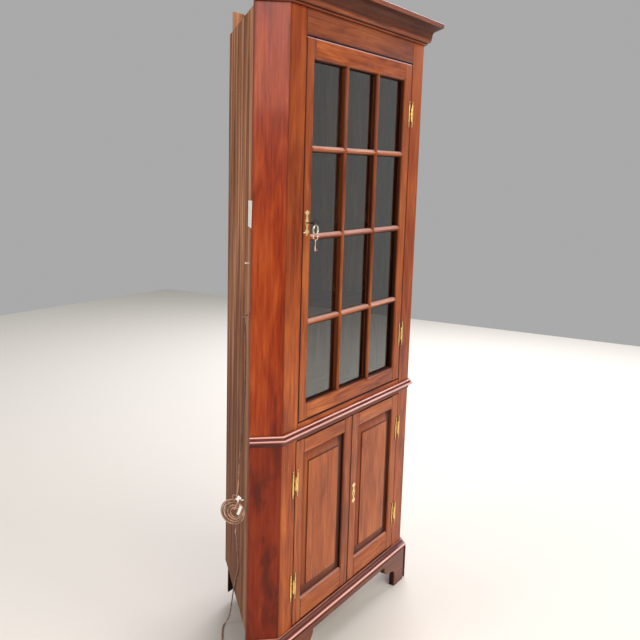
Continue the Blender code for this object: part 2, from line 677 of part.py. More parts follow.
def lights():
    """The clear opening of each light, as (x low, x high, z low, z high)."""
    half = UPPER_OPENING_HALF - DOOR_GAP - UPPER_STILE
    bar = BAR_WIDTH / 2
    columns = [-half - bar] + bar_positions() + [half + bar]
    rows = [GLASS_BOTTOM - bar] + bar_heights() + [GLASS_TOP + bar]
    return [(x0 + bar, x1 - bar, z0 + bar, z1 - bar)
            for x0, x1 in zip(columns, columns[1:]) for z0, z1 in zip(rows, rows[1:])]


def grown(depth, light, margin):
    """A rectangle at a depth, larger than a light all round."""
    x0, x1, z0, z1 = light
    return (depth, x0 - margin, x1 + margin, z0 - margin, z1 + margin)


def light_cutter_mesh(light):
    """One light's opening: a bevel at the front, then a straight wall to the back."""
    return loft_mesh([grown(-OVERRUN, light, STICKING + OVERRUN), grown(STICKING, light, 0),
                      grown(UPPER_DOOR_THICKNESS + OVERRUN, light, 0)])


def build_upper_door(door):
    """Stiles, rails, the grid of glazing bars, the glass behind it and the bead that holds the glass."""
    half = UPPER_OPENING_HALF - DOOR_GAP
    inner = half - UPPER_STILE
    low, high = UPPER_OPENING_BOTTOM + DOOR_GAP, UPPER_OPENING_TOP - DOOR_GAP
    back = UPPER_DOOR_THICKNESS
    stiles = [add_box("upper_door_stile_left", door, CHERRY, (-half, 0, low), (-inner, back, high)),
              add_box("upper_door_stile_right", door, CHERRY, (inner, 0, low), (half, back, high))]
    between = inner - CLEARANCE
    rails = [add_box("upper_door_rail_bottom", door, CHERRY, (-between, 0, low), (between, back, GLASS_BOTTOM)),
             add_box("upper_door_rail_top", door, CHERRY, (-between, 0, GLASS_TOP), (between, back, high))]
    grid = add_box("glazing_bars", door, CHERRY, (-between, 0, GLASS_BOTTOM + CLEARANCE),
                   (between, REBATE_DEPTH, GLASS_TOP - CLEARANCE))
    cutter = add_cutter("light_openings", door, joined(*[light_cutter_mesh(light) for light in lights()]))
    cut(stiles + rails + [grid], cutter)
    sheet = (-inner, inner, GLASS_BOTTOM, GLASS_TOP)
    rebate = loft_mesh([grown(REBATE_DEPTH, sheet, REBATE_WIDTH), grown(back + OVERRUN, sheet, REBATE_WIDTH)])
    cut(stiles + rails, add_cutter("glass_rebate", door, rebate))
    margin = REBATE_WIDTH - CLEARANCE
    glass_front = REBATE_DEPTH + CLEARANCE
    glass_back = glass_front + GLASS_THICKNESS
    add_box("glass_sheet", door, GLASS, (-inner - margin, glass_front, GLASS_BOTTOM - margin),
            (inner + margin, glass_back, GLASS_TOP + margin))
    bead_front = glass_back + CLEARANCE
    bead = add_box("glazing_bead", door, CHERRY, (-inner - margin, bead_front, GLASS_BOTTOM - margin),
                   (inner + margin, back, GLASS_TOP + margin))
    narrow = margin - BEAD_WIDTH
    slope = back + OVERRUN - bead_front
    hole = loft_mesh([grown(bead_front - OVERRUN, sheet, narrow - OVERRUN),
                      grown(back + OVERRUN, sheet, narrow + slope)])
    cut([bead], add_cutter("bead_opening", door, hole))
    return stiles[0]


def build_lower_door(word, side, door):
    """A frame of two stiles and two rails, and a raised panel held in its groove."""
    outer = side * (LOWER_OPENING_HALF - DOOR_GAP)
    meeting = side * DOOR_GAP / 2
    low, high = LOWER_OPENING_BOTTOM + DOOR_GAP, LOWER_OPENING_TOP - DOOR_GAP
    back = LOWER_DOOR_THICKNESS
    frame = add_box("lower_%s_door_frame" % word, door, CHERRY, (min(outer, meeting), 0, low),
                    (max(outer, meeting), back, high))
    x0, x1 = sorted((outer - side * LOWER_STILE, meeting + side * LOWER_STILE))
    opening = (x0, x1, low + LOWER_BOTTOM_RAIL, high - LOWER_TOP_RAIL)
    groove_end = GROOVE_START + GROOVE_WIDTH
    cutter = loft_mesh([grown(-OVERRUN, opening, PANEL_STICKING + OVERRUN), grown(PANEL_STICKING, opening, 0),
                        grown(GROOVE_START, opening, 0), grown(GROOVE_START, opening, GROOVE_DEPTH),
                        grown(groove_end, opening, GROOVE_DEPTH), grown(groove_end, opening, 0),
                        grown(back + OVERRUN, opening, 0)])
    cut([frame], add_cutter("lower_%s_opening" % word, door, cutter))
    tongue = GROOVE_DEPTH - CLEARANCE
    tongue_front = GROOVE_START + CLEARANCE
    tongue_back = groove_end - CLEARANCE
    panel = loft_mesh([grown(PANEL_FIELD_DEPTH, opening, -PANEL_BEVEL),
                       grown(PANEL_FIELD_DEPTH + PANEL_STEP, opening, -PANEL_BEVEL),
                       grown(tongue_front, opening, -CLEARANCE), grown(tongue_front, opening, tongue),
                       grown(tongue_back, opening, tongue)])
    add_mesh("lower_%s_door_panel" % word, door, CHERRY, panel)
    return frame


def hinge_bar_mesh():
    """One flat-backed bar with a ball at each end, standing on the face at x = 0."""
    half = HINGE_LENGTH / 2
    neck = half - HINGE_BALL_LENGTH
    ball = half - HINGE_BALL_LENGTH / 2
    profile = [(0, half)]
    for step in range(1, BALL_STEPS):
        angle = math.pi * step / BALL_STEPS
        profile.append((HINGE_BALL_RADIUS * math.sin(angle), ball + HINGE_BALL_LENGTH / 2 * math.cos(angle)))
    profile += [(HINGE_NECK_RADIUS, neck), (HINGE_BAR_RADIUS, neck - HINGE_NECK_RADIUS)]
    profile += [(r, -z) for r, z in reversed(profile)]
    mesh = turned_mesh(profile, HINGE_STEPS)
    mesh.transform(Matrix.Diagonal((1, HINGE_BAR_FLATTEN_SHARE, 1, 1)))
    bm = bmesh.new()
    bm.from_mesh(mesh)
    geometry = bm.verts[:] + bm.edges[:] + bm.faces[:]
    result = bmesh.ops.bisect_plane(bm, geom=geometry, plane_co=(0, -CLEARANCE, 0), plane_no=(0, 1, 0),
                                    clear_outer=True)
    edges = [item for item in result["geom_cut"] if isinstance(item, bmesh.types.BMEdge)]
    bmesh.ops.edgeloop_fill(bm, edges=edges)
    return finish_mesh(bm, "hinge_bar")


def knuckle_mesh(low, high, radius, steps=HINGE_STEPS):
    """A round barrel between two heights, about the Z axis."""
    return turned_mesh([(0, high), (radius, high), (radius, low), (0, low)], steps)


def hinge_axis_y():
    """The barrel stands just proud of the face."""
    return -KNUCKLE_RADIUS - CLEARANCE


def hinge_leaf_meshes():
    """The fixed leaf, with its pin and outer knuckles, and the door leaf, with the middle knuckle.

    Both are given about the hinge's axis, the fixed leaf on +x and the door leaf on -x.
    """
    axis_y = hinge_axis_y()
    bar = moved(hinge_bar_mesh(), Matrix.Translation((HINGE_BAR_OFFSET, -axis_y, 0)))
    half = KNUCKLE_LENGTH / 2
    outer = HINGE_ARM_HEIGHT / 2
    arm_low_y = -axis_y - CLEARANCE - HINGE_ARM_THICKNESS
    arm_high_y = -axis_y - CLEARANCE

    def arm(z_low, z_high):
        return box_mesh((PIN_RADIUS, arm_low_y, z_low), (HINGE_BAR_OFFSET, arm_high_y, z_high))

    tip = outer + PIN_TIP_RADIUS
    pin = [(0, tip + PIN_TIP_RADIUS), (PIN_TIP_RADIUS, tip), (PIN_RADIUS, outer),
           (PIN_RADIUS, -outer), (PIN_TIP_RADIUS, -tip), (0, -tip - PIN_TIP_RADIUS)]
    fixed = united(bar, arm(half, outer), arm(-outer, -half), knuckle_mesh(half, outer, KNUCKLE_RADIUS),
                   knuckle_mesh(-outer, -half, KNUCKLE_RADIUS), turned_mesh(pin, HINGE_STEPS))
    mirror = Matrix.Diagonal((-1, 1, 1, 1))
    edge = half - CLEARANCE
    door = united(moved(bar, mirror), moved(arm(-edge, edge), mirror), knuckle_mesh(-edge, edge, KNUCKLE_RADIUS))
    base = bpy.data.objects.new("door_leaf", door)
    bore = bpy.data.objects.new("bore", knuckle_mesh(-edge - OVERRUN, edge + OVERRUN, PIN_RADIUS + CLEARANCE))
    bpy.context.scene.collection.objects.link(bore)
    difference = base.modifiers.new("bore", "BOOLEAN")
    difference.operation = "DIFFERENCE"
    difference.object = bore
    door = evaluated_mesh(base)
    bpy.data.objects.remove(bore)
    return fixed, door


def build_hinges(root, upper, left, right):
    """Six H hinges: fixed leaves on the face frame, door leaves on the doors."""
    fixed, door = hinge_leaf_meshes()
    mirror = Matrix.Diagonal((-1, 1, 1, 1))
    axis_y = hinge_axis_y()
    upper_heights = [UPPER_OPENING_TOP - UPPER_HINGE_INSET, UPPER_OPENING_BOTTOM + UPPER_HINGE_INSET]
    lower_heights = [LOWER_OPENING_TOP - LOWER_HINGE_INSET, LOWER_OPENING_BOTTOM + LOWER_HINGE_INSET]
    for word, body, side, heights in (("upper", upper, 1, upper_heights), ("lower_left", left, -1, lower_heights),
                                      ("lower_right", right, 1, lower_heights)):
        for place_word, height in zip(("top", "bottom"), heights):
            spot = Matrix.Translation((hinge_x(body is upper, side), axis_y, height))
            spot = spot if side > 0 else spot @ mirror
            name = "%s_%s_hinge_" % (word, place_word)
            add_mesh(name + "frame_leaf", root, BRASS, moved(fixed, spot), smooth=True)
            add_mesh(name + "door_leaf", body, BRASS, moved(door, spot), smooth=True)


def hinge_x(is_upper, side):
    """The x of a hinge's axis, over the middle of the gap beside the door."""
    half = UPPER_OPENING_HALF if is_upper else LOWER_OPENING_HALF
    return side * (half - DOOR_GAP / 2)


def keyhole_mesh(x, z, front, back):
    """A round hole with a slot below it, as one cutting outline."""
    slot_half = KEYHOLE_SLOT_WIDTH / 2
    outline = [(x - slot_half, z - KEYHOLE_SLOT_LENGTH), (x + slot_half, z - KEYHOLE_SLOT_LENGTH)]
    start = math.asin(slot_half / KEYHOLE_RADIUS)
    steps = HINGE_STEPS
    for step in range(steps + 1):
        angle = -math.pi / 2 + start + (math.tau - 2 * start) * step / steps
        outline.append((x + KEYHOLE_RADIUS * math.cos(angle), z + KEYHOLE_RADIUS * math.sin(angle)))
    return outline_mesh(outline, front, back, "Y")


def escutcheon_mesh(x, z):
    """A pierced plate with a leaf at each end, the same left and right."""
    half_height = ESCUTCHEON_HEIGHT / 2
    right = [(ESCUTCHEON_HALF_WIDTH * u, half_height * v) for u, v in ESCUTCHEON_SHARES]
    outline = [(x + u, z + v) for u, v in right] + [(x - u, z + v) for u, v in reversed(right)]
    return outline_mesh(outline, -CLEARANCE - ESCUTCHEON_THICKNESS, -CLEARANCE, "Y")


def build_lock(word, door, edge_x, x, z, thickness, stile, keeper):
    """An escutcheon over the keyhole, and the bolt in its mortise in the stile's edge at edge_x."""
    plate = add_mesh(word + "_escutcheon", door, BRASS, escutcheon_mesh(x, z))
    hole = keyhole_mesh(x, z, -OVERRUN, thickness / 2)
    cut([plate, stile], add_cutter(word + "_keyhole", door, hole))
    middle = thickness / 2
    half = BOLT_THICKNESS / 2
    bolt_low = z + BOLT_RISE - BOLT_HEIGHT / 2
    bolt_high = bolt_low + BOLT_HEIGHT
    mortise = box_mesh((edge_x - OVERRUN, middle - half - MORTISE_SPACE, z - MORTISE_DROP),
                       (edge_x + MORTISE_DEPTH, middle + half + MORTISE_SPACE, bolt_high + CLEARANCE))
    cut([stile], add_cutter(word + "_mortise", door, mortise))
    keep = box_mesh((edge_x - KEEPER_DEPTH, middle - half - MORTISE_SPACE, bolt_low - MORTISE_SPACE),
                    (edge_x + CLEARANCE, middle + half + MORTISE_SPACE, bolt_high + MORTISE_SPACE))
    cut([keeper], add_cutter(word + "_keeper_mortise", door, keep))
    start = edge_x + CLEARANCE
    bolt = Body(word + "_bolt_joint", (start, middle, bolt_low), door)
    add_box(word + "_lock_bolt", bolt, BRASS, (start, middle - half, bolt_low),
            (start + BOLT_LENGTH, middle + half, bolt_high))


def key_mesh(length):
    """A key along +y from its bow: a bow of round wire, a shank and, at the far end, a bit below it."""
    bow = torus_mesh(KEY_BOW_RADIUS, KEY_BOW_WIRE, KEY_BOW_STEPS, KEY_WIRE_STEPS)
    bow = moved(bow, Matrix.Rotation(math.pi / 2, 4, "Y"))
    start = KEY_BOW_RADIUS - KEY_BOW_WIRE / 2
    shank = turned_mesh([(0, length), (KEY_SHANK_RADIUS, length), (KEY_SHANK_RADIUS, start), (0, start)], HINGE_STEPS)
    shank = moved(shank, Matrix.Rotation(-math.pi / 2, 4, "X"))
    bit = box_mesh((-KEY_BIT_THICKNESS / 2, length - KEY_BIT_WIDTH - KEY_BIT_THICKNESS, -KEY_BIT_LENGTH),
                   (KEY_BIT_THICKNESS / 2, length - KEY_BIT_THICKNESS, 0))
    return united(shank, bow, bit)


def build_keys(door, x, z):
    """The key in the upper lock, and the ring with the spare key that hangs from its bow."""
    bow_y = -KEY_REACH - KEY_BOW_RADIUS
    end_y = (UPPER_DOOR_THICKNESS + BOLT_THICKNESS) / 2 + MORTISE_SPACE - CLEARANCE
    key = Body("upper_key_joint", (x, 0, z), door)
    add_mesh("upper_key", key, BRASS, moved(key_mesh(end_y - bow_y), Matrix.Translation((x, bow_y, z))), smooth=True)
    pivot_z = z - KEY_BOW_RADIUS
    seat = KEY_BOW_WIRE + CLEARANCE + KEY_RING_WIRE
    ring_z = pivot_z + seat - KEY_RING_RADIUS
    ring_body = Body("key_ring_joint", (x, bow_y, pivot_z), key)
    ring = torus_mesh(KEY_RING_RADIUS, KEY_RING_WIRE, KEY_RING_STEPS, KEY_WIRE_STEPS)
    ring = moved(ring, Matrix.Rotation(math.pi / 2, 4, "X"))
    spare = moved(key_mesh(SPARE_KEY_LENGTH + KEY_BOW_RADIUS), Matrix.Rotation(-math.pi / 2, 4, "X"))
    spare_z = ring_z - KEY_RING_RADIUS + KEY_RING_WIRE - KEY_BOW_RADIUS
    both = united(moved(ring, Matrix.Translation((x, bow_y, ring_z))),
                  moved(spare, Matrix.Translation((x, bow_y, spare_z))))
    add_mesh("spare_key_on_ring", ring_body, BRASS, both, smooth=True)


def build_left_bolt(door, frame, waist_rail):
    """The flush bolt let into the back of the left lower door's meeting stile, and its notch in the rail above."""
    x = -DOOR_GAP / 2 - LOWER_STILE / 2
    back = LOWER_DOOR_THICKNESS
    front = back - DOOR_BOLT_THICKNESS
    top = LOWER_OPENING_TOP - DOOR_GAP - CLEARANCE
    half = DOOR_BOLT_WIDTH / 2
    bolt = Body("left_door_bolt_joint", (x, front, top), door)
    add_box("left_door_bolt", bolt, BRASS, (x - half, front, top - DOOR_BOLT_LENGTH), (x + half, back, top))
    groove = box_mesh((x - half - CLEARANCE, front - CLEARANCE, top - DOOR_BOLT_LENGTH - CLEARANCE),
                      (x + half + CLEARANCE, back + OVERRUN, top + OVERRUN))
    cut([frame], add_cutter("left_bolt_groove", door, groove))
    notch = box_mesh((x - half - MORTISE_SPACE, front - MORTISE_SPACE, LOWER_OPENING_TOP - OVERRUN),
                     (x + half + MORTISE_SPACE, FRAME_THICKNESS + OVERRUN, LOWER_OPENING_TOP + KEEPER_DEPTH))
    cut([waist_rail], add_cutter("left_bolt_notch", door, notch))


def build_light(root, top_board):
    """A can light let into the top board, closed by a domed lens."""
    centre_y = FRAME_THICKNESS + CAN_BACK_OFFSET
    low = SIDE_TOP - BOARD_THICKNESS
    flange_low = low - CLEARANCE - CAN_FLANGE_THICKNESS
    flange_high = low - CLEARANCE
    top = low + CAN_HEIGHT
    outer = CAN_RADIUS + CAN_FLANGE
    profile = [(0, top), (CAN_RADIUS, top), (CAN_RADIUS, flange_high), (outer, flange_high), (outer, flange_low)]
    for step in range(LENS_STEPS):
        angle = math.pi / 2 * step / LENS_STEPS
        profile.append((LENS_RADIUS * math.cos(angle), flange_low - LENS_DROP * math.sin(angle)))
    profile.append((0, flange_low - LENS_DROP))
    spot = Matrix.Translation((0, centre_y, 0))
    steps = 2 * HINGE_STEPS
    add_mesh("light_fitting", root, WHITE_PLASTIC, moved(turned_mesh(profile, steps), spot), smooth=True)
    hole = knuckle_mesh(low - OVERRUN, SIDE_TOP + OVERRUN, CAN_RADIUS + CLEARANCE, steps)
    cut([top_board], add_cutter("light_hole", root, moved(hole, spot)))


def smooth_route(points, spacing):
    """Points at an even spacing along a Catmull-Rom curve through the route's own points."""
    dense = []
    ends = [points[0] * 2 - points[1]] + list(points) + [points[-1] * 2 - points[-2]]
    for a, b, c, d in zip(ends, ends[1:], ends[2:], ends[3:]):
        steps = max(2, math.ceil((c - b).length / spacing) * ROUTE_FINENESS)
        for i in range(steps):
            t = i / steps
            dense.append(((b * 2) + (c - a) * t + (a * 2 - b * 5 + c * 4 - d) * t ** 2
                          + (b * 3 - a - c * 3 + d) * t ** 3) / 2)
    dense.append(points[-1].copy())
    total = route_length(dense)
    count = max(2, round(total / spacing))
    even, walked, index = [dense[0]], 0, 0
    for step in range(1, count):
        target = total * step / count
        while walked + (dense[index + 1] - dense[index]).length < target:
            walked += (dense[index + 1] - dense[index]).length
            index += 1
        run = dense[index + 1] - dense[index]
        even.append(dense[index] + run * ((target - walked) / run.length))
    return even + [dense[-1]]


def route_length(points):
    return sum((b - a).length for a, b in zip(points, points[1:]))


def add_tube(name, body, points, resolution):
    """A round cord along points given from the middle of the front plane."""
    curve = bpy.data.curves.new(name, "CURVE")
    curve.dimensions = "3D"
    curve.bevel_depth = CORD_DIAMETER / 2
    curve.bevel_resolution = resolution
    curve.use_fill_caps = True
    spline = curve.splines.new("POLY")
    spline.points.add(len(points) - 1)
    for target, point in zip(spline.points, points):
        target.co = (*point, 1)
    return place(bpy.data.objects.new(name, curve), body, CORD_BROWN)


def coil_points():
    """The coil's centre line: a spiral in, a part turn that climbs a layer, and a spiral out again.

    Its middle moves to the wall board as it shrinks, so the turns fan out on the other side. It starts at the
    coil's top, heading out from the wall board, and ends at its bottom, heading back to it.
    """
    turn = math.radians(COIL_TURN_DEGREES)
    outwards = Vector((math.sin(turn), math.cos(turn), 0))
    across = Vector((math.cos(turn), -math.sin(turn), 0))
    centre = Vector((COIL_ALONG, COIL_OUT, COIL_HEIGHT))
    inner = COIL_OUTER - COIL_RADIAL_PITCH * COIL_IN_TURNS
    climbed = COIL_IN_TURNS + COIL_CLIMB_TURNS
    points = []
    for i in range(round((climbed + COIL_OUT_TURNS) * COIL_TURN_POINTS) + 1):
        turns = i / COIL_TURN_POINTS
        radius = inner + COIL_RADIAL_PITCH * max(COIL_IN_TURNS - turns, turns - climbed, 0)
        share = min(max((turns - COIL_IN_TURNS) / COIL_CLIMB_TURNS, 0), 1)
        layer = share * share * (3 - 2 * share)
        lean = COIL_LEAN_SHARE * (COIL_OUTER - radius)
        angle = math.pi / 2 - math.tau * turns
        points.append(centre + outwards * (radius * math.cos(angle) - lean)
                      + Vector((0, 0, radius * math.sin(angle)))
                      + across * (COIL_LAYER_PITCH / 2 * (2 * layer - 1)))
    points.insert(0, lead(points[0], points[0] - points[1], CORD_DIAMETER))
    points.append(lead(points[-1], points[-1] - points[-2], CORD_DIAMETER))
    return [side_matrix() @ point for point in points]


def least_self_gap(points, loop_points, diameter):
    """The least gap between points of the coil that lie more than a third of a loop apart along it."""
    least = None
    for i, a in enumerate(points):
        for b in points[i + loop_points // 3:]:
            gap = (a - b).length - diameter
            least = gap if least is None else min(least, gap)
    return least


def lead(start, direction, length):
    """A point straight on from an end of the coil."""
    return start + direction.normalized() * length


def build_cord(root, side_board):
    """Drop, coil, tail and plug, from the hole in the wall board to the floor."""
    wall = side_matrix()
    exit_point = Vector((CORD_EXIT_ALONG, 0, CORD_EXIT_HEIGHT))
    hole_radius = CORD_DIAMETER / 2 + CORD_HOLE_SPACE
    turn = wall @ Matrix.Translation(exit_point) @ Matrix.Rotation(-math.pi / 2, 4, "X")
    hole = knuckle_mesh(-SIDE_THICKNESS - OVERRUN, OVERRUN, hole_radius)
    cut([side_board], add_cutter("cord_hole", root, moved(hole, turn)))
    coil = coil_points()
    add_tube("cord_coil", root, coil, 1)
    print("coil: length %.3f m, least gap to itself %.2f mm"
          % (route_length(coil), least_self_gap(coil, COIL_TURN_POINTS, CORD_DIAMETER) * MILLIMETRES))

    inside = wall @ (exit_point + Vector((0, -SIDE_THICKNESS, 0)))
    straight = [wall @ (exit_point + Vector((0, CORD_DIAMETER, 0)))]
    arrive = lead(coil[0], coil[0] - coil[1], CLEARANCE)
    arrive_back = lead(arrive, coil[0] - coil[1], CORD_DIAMETER)
    drop = [inside] + straight + [wall @ Vector(point) for point in DROP_ROUTE] + [arrive_back]
    drop_points = smooth_route(drop, ROUTE_STEP_DIAMETERS * CORD_DIAMETER) + [arrive]
    add_tube("cord_drop", root, drop_points, 2)

    leave = lead(coil[-1], coil[-1] - coil[-2], CLEARANCE)
    leave_on = lead(leave, coil[-1] - coil[-2], CORD_DIAMETER)
    floor = [(along, out, CORD_DIAMETER / 2 + CLEARANCE) for along, out in FLOOR_ROUTE]
    tail = [leave_on] + [wall @ Vector(point) for point in TAIL_ROUTE + floor]
    tail_points = [leave] + smooth_route(tail, ROUTE_STEP_DIAMETERS * CORD_DIAMETER)
    add_tube("cord_tail", root, tail_points, 2)
    print("cord: drop %.3f m, tail %.3f m" % (route_length(drop_points), route_length(tail_points)))

    end = tail_points[-1]
    direction = (tail_points[-1] - tail_points[-2]).normalized()
    direction.z = 0
    heading = math.atan2(direction.y, direction.x)
    body = loft_mesh([(0, -PLUG_WIDTH / 4, PLUG_WIDTH / 4, -PLUG_THICKNESS / 4, PLUG_THICKNESS / 4),
                      (PLUG_LENGTH / 2, -PLUG_WIDTH / 2, PLUG_WIDTH / 2, -PLUG_THICKNESS / 2, PLUG_THICKNESS / 2),
                      (PLUG_LENGTH, -PLUG_WIDTH / 2, PLUG_WIDTH / 2, -PLUG_THICKNESS / 2, PLUG_THICKNESS / 2)])
    blades = []
    for side in (-1, 1):
        x = side * PLUG_BLADE_SPACING / 2
        low = (x - PLUG_BLADE_THICKNESS / 2, PLUG_LENGTH - PLUG_BLADE_THICKNESS, -PLUG_BLADE_WIDTH / 2)
        high = (x + PLUG_BLADE_THICKNESS / 2, PLUG_LENGTH + PLUG_BLADE_LENGTH, PLUG_BLADE_WIDTH / 2)
        blades.append(box_mesh(low, high))
    plug = united(body, *blades)
    rest = Vector((end.x, end.y, PLUG_THICKNESS / 2)) + direction * CLEARANCE
    plug.transform(Matrix.Translation(rest) @ Matrix.Rotation(heading - math.pi / 2, 4, "Z"))
    add_mesh("cord_plug", root, CORD_BROWN, plug)

    # The tie is a band round the bundle of turns, just past the coil's top.
    turn = math.radians(COIL_TURN_DEGREES)
    margin = CORD_DIAMETER / 2 + 2 * CLEARANCE
    low, high = TIE_INSIDE, TIE_OUTSIDE
    wide = COIL_LAYER_PITCH / 2 + margin
    ring = [(-wide, low), (wide, low), (wide, high), (-wide, high)]
    wall_ring = [(-wide - TIE_WALL, low - TIE_WALL), (wide + TIE_WALL, low - TIE_WALL),
                 (wide + TIE_WALL, high + TIE_WALL), (-wide - TIE_WALL, high + TIE_WALL)]
    band = outline_mesh(wall_ring, -TIE_WIDTH / 2, TIE_WIDTH / 2, "Y")
    spot = wall @ Matrix.Translation((COIL_ALONG, COIL_OUT, COIL_HEIGHT)) @ Matrix.Rotation(-turn, 4, "Z")
    spot = spot @ Matrix.Rotation(math.radians(TIE_TURN_DEGREES), 4, "X")
    tie = add_mesh("coil_tie", root, WHITE_PLASTIC, moved(band, spot))
    opening = outline_mesh(ring, -TIE_WIDTH, TIE_WIDTH, "Y")
    cut([tie], add_cutter("tie_opening", root, moved(opening, spot)))


def main():
    clear_scene()
    root = Body("cabinet", (0, 0, 0))
    axis_y = hinge_axis_y()
    upper = Body("upper_door_joint", (hinge_x(True, 1), axis_y, UPPER_OPENING_BOTTOM), root)
    left = Body("lower_left_door_joint", (hinge_x(False, -1), axis_y, LOWER_OPENING_BOTTOM), root)
    right = Body("lower_right_door_joint", (hinge_x(False, 1), axis_y, LOWER_OPENING_BOTTOM), root)
    side_board, left_stile, waist_rail, top_board = build_case(root)
    build_mouldings(root)
    build_base(root)
    upper_stile = build_upper_door(upper)
    left_frame = build_lower_door("left", -1, left)
    right_frame = build_lower_door("right", 1, right)
    build_hinges(root, upper, left, right)
    upper_edge = -(UPPER_OPENING_HALF - DOOR_GAP)
    key_x = upper_edge + (UPPER_STILE - STICKING) / 2
    build_lock("upper", upper, upper_edge, key_x, UPPER_KEYHOLE_HEIGHT, UPPER_DOOR_THICKNESS, upper_stile, left_stile)
    build_keys(upper, key_x, UPPER_KEYHOLE_HEIGHT)
    lower_edge = DOOR_GAP / 2
    build_lock("lower", right, lower_edge, lower_edge + LOWER_STILE / 2, LOWER_KEYHOLE_HEIGHT, LOWER_DOOR_THICKNESS,
               right_frame, left_frame)
    build_left_bolt(left, left_frame, waist_rail)
    build_light(root, top_board)
    build_cord(root, side_board)


main()
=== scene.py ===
"""Looks of the glazed corner cabinet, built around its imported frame.

Metres, +Z up, the doors face -Y. The front plane of the face frame lies at FRONT_Y. Wood, brass, glass,
cord and the wall board's small fittings are dressed here; every size comes from the frame or from the
named values below.
"""

import bmesh
import bpy
import numpy as np
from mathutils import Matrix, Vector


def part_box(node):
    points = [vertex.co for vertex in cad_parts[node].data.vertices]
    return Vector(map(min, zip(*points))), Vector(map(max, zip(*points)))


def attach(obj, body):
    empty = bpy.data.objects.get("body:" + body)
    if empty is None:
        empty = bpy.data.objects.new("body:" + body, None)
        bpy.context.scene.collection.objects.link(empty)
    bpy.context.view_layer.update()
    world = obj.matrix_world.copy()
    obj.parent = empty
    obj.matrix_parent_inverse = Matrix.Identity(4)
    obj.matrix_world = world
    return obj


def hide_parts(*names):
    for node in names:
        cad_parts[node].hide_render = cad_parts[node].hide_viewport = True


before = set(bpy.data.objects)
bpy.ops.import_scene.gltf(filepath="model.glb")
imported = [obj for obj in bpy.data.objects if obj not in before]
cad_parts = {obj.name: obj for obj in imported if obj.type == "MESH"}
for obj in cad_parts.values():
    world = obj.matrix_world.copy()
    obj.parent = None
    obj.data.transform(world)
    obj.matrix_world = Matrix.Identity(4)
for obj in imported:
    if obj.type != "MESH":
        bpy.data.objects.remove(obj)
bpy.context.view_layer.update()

# Plan of the case, as the frame has it
FRONT_Y = -0.18057
FACE_HALF_WIDTH = 0.437
CANT_WIDTH = 0.100
ROOT_HALF = np.sqrt(0.5)
CANT_NORMAL = np.array([-ROOT_HALF, -ROOT_HALF, 0])
CANT_RUN = np.array([-ROOT_HALF, ROOT_HALF, 0])
WALL_CORNER = np.array([-FACE_HALF_WIDTH, FRONT_Y, 0]) + CANT_WIDTH * CANT_RUN
WALL_AXES = np.array([-CANT_NORMAL, CANT_RUN, [0, 0, 1]])
SEAT = 0.0003

# Camera, in metres, radians and millimetres of lens and sensor
CAMERA_PLACE = (-2.3401, -1.42117, 1.5756)
CAMERA_YAW = np.radians(53.3189)
CAMERA_PITCH = np.radians(-10.02)
CAMERA_ROLL = np.radians(0.5808)
CAMERA_LENS = 44.69
CAMERA_SENSOR = 36.0
CAMERA_SHIFT = (0.1317, -0.00497)

# Lamp cord, in the wall board's frame: along the board to the rear, out from it, and up
CORD_DIAMETER = 0.0045
CORD_EXIT = (0.030, 0, 1.180)
COIL_CENTRE = (0.020, 0.0425, 0.575)
COIL_OUTER = 0.0405
COIL_IN_TURNS = 3
COIL_CLIMB_TURNS = 0.75
COIL_OUT_TURNS = 2.75
COIL_RADIAL_PITCH = 0.0080
COIL_LAYER_PITCH = 0.0058
COIL_LEAN_SHARE = 0.35
COIL_TURN = np.radians(30)
COIL_TURN_POINTS = 24
# The coil's frame: out from its middle to the rear, up, and across its turns
COIL_AXES = np.array([[np.sin(COIL_TURN), np.cos(COIL_TURN), 0], [0, 0, 1],
                      [np.cos(COIL_TURN), -np.sin(COIL_TURN), 0]])
ROUTE_SPACING = 3 * CORD_DIAMETER
STRETCH_STEPS = 24
DROP_ROUTE = [(0.0300, 0.0125, 1.1750), (0.0300, 0.0138, 1.1640), (0.0296, 0.0118, 1.1450),
              (0.0287, 0.0092, 1.1150), (0.0266, 0.0088, 1.0500), (0.0244, 0.0096, 0.9700),
              (0.0240, 0.0122, 0.8950), (0.0258, 0.0175, 0.8250), (0.0268, 0.0222, 0.7600),
              (0.0252, 0.0256, 0.7000), (0.0218, 0.0275, 0.6550)]
TAIL_ROUTE = [(0.0240, 0.0340, 0.5080), (0.0450, 0.0270, 0.4800), (0.0850, 0.0180, 0.4250),
              (0.1280, 0.0090, 0.3680), (0.1620, 0.0040, 0.3120), (0.2220, 0.0032, 0.2400),
              (0.2660, 0.0032, 0.1780), (0.3020, 0.0032, 0.1150), (0.3300, 0.0036, 0.0650),
              (0.3500, 0.0060, 0.0320), (0.3600, 0.0110, 0.0120), (0.3585, 0.0190, 0.0040)]
FLOOR_ROUTE = [(0.3450, 0.0265), (0.3155, 0.0335), (0.2880, 0.0375), (0.2580, 0.0420), (0.2200, 0.0520),
               (0.1800, 0.0620), (0.1400, 0.0660), (0.1050, 0.0600), (0.0750, 0.0520)]

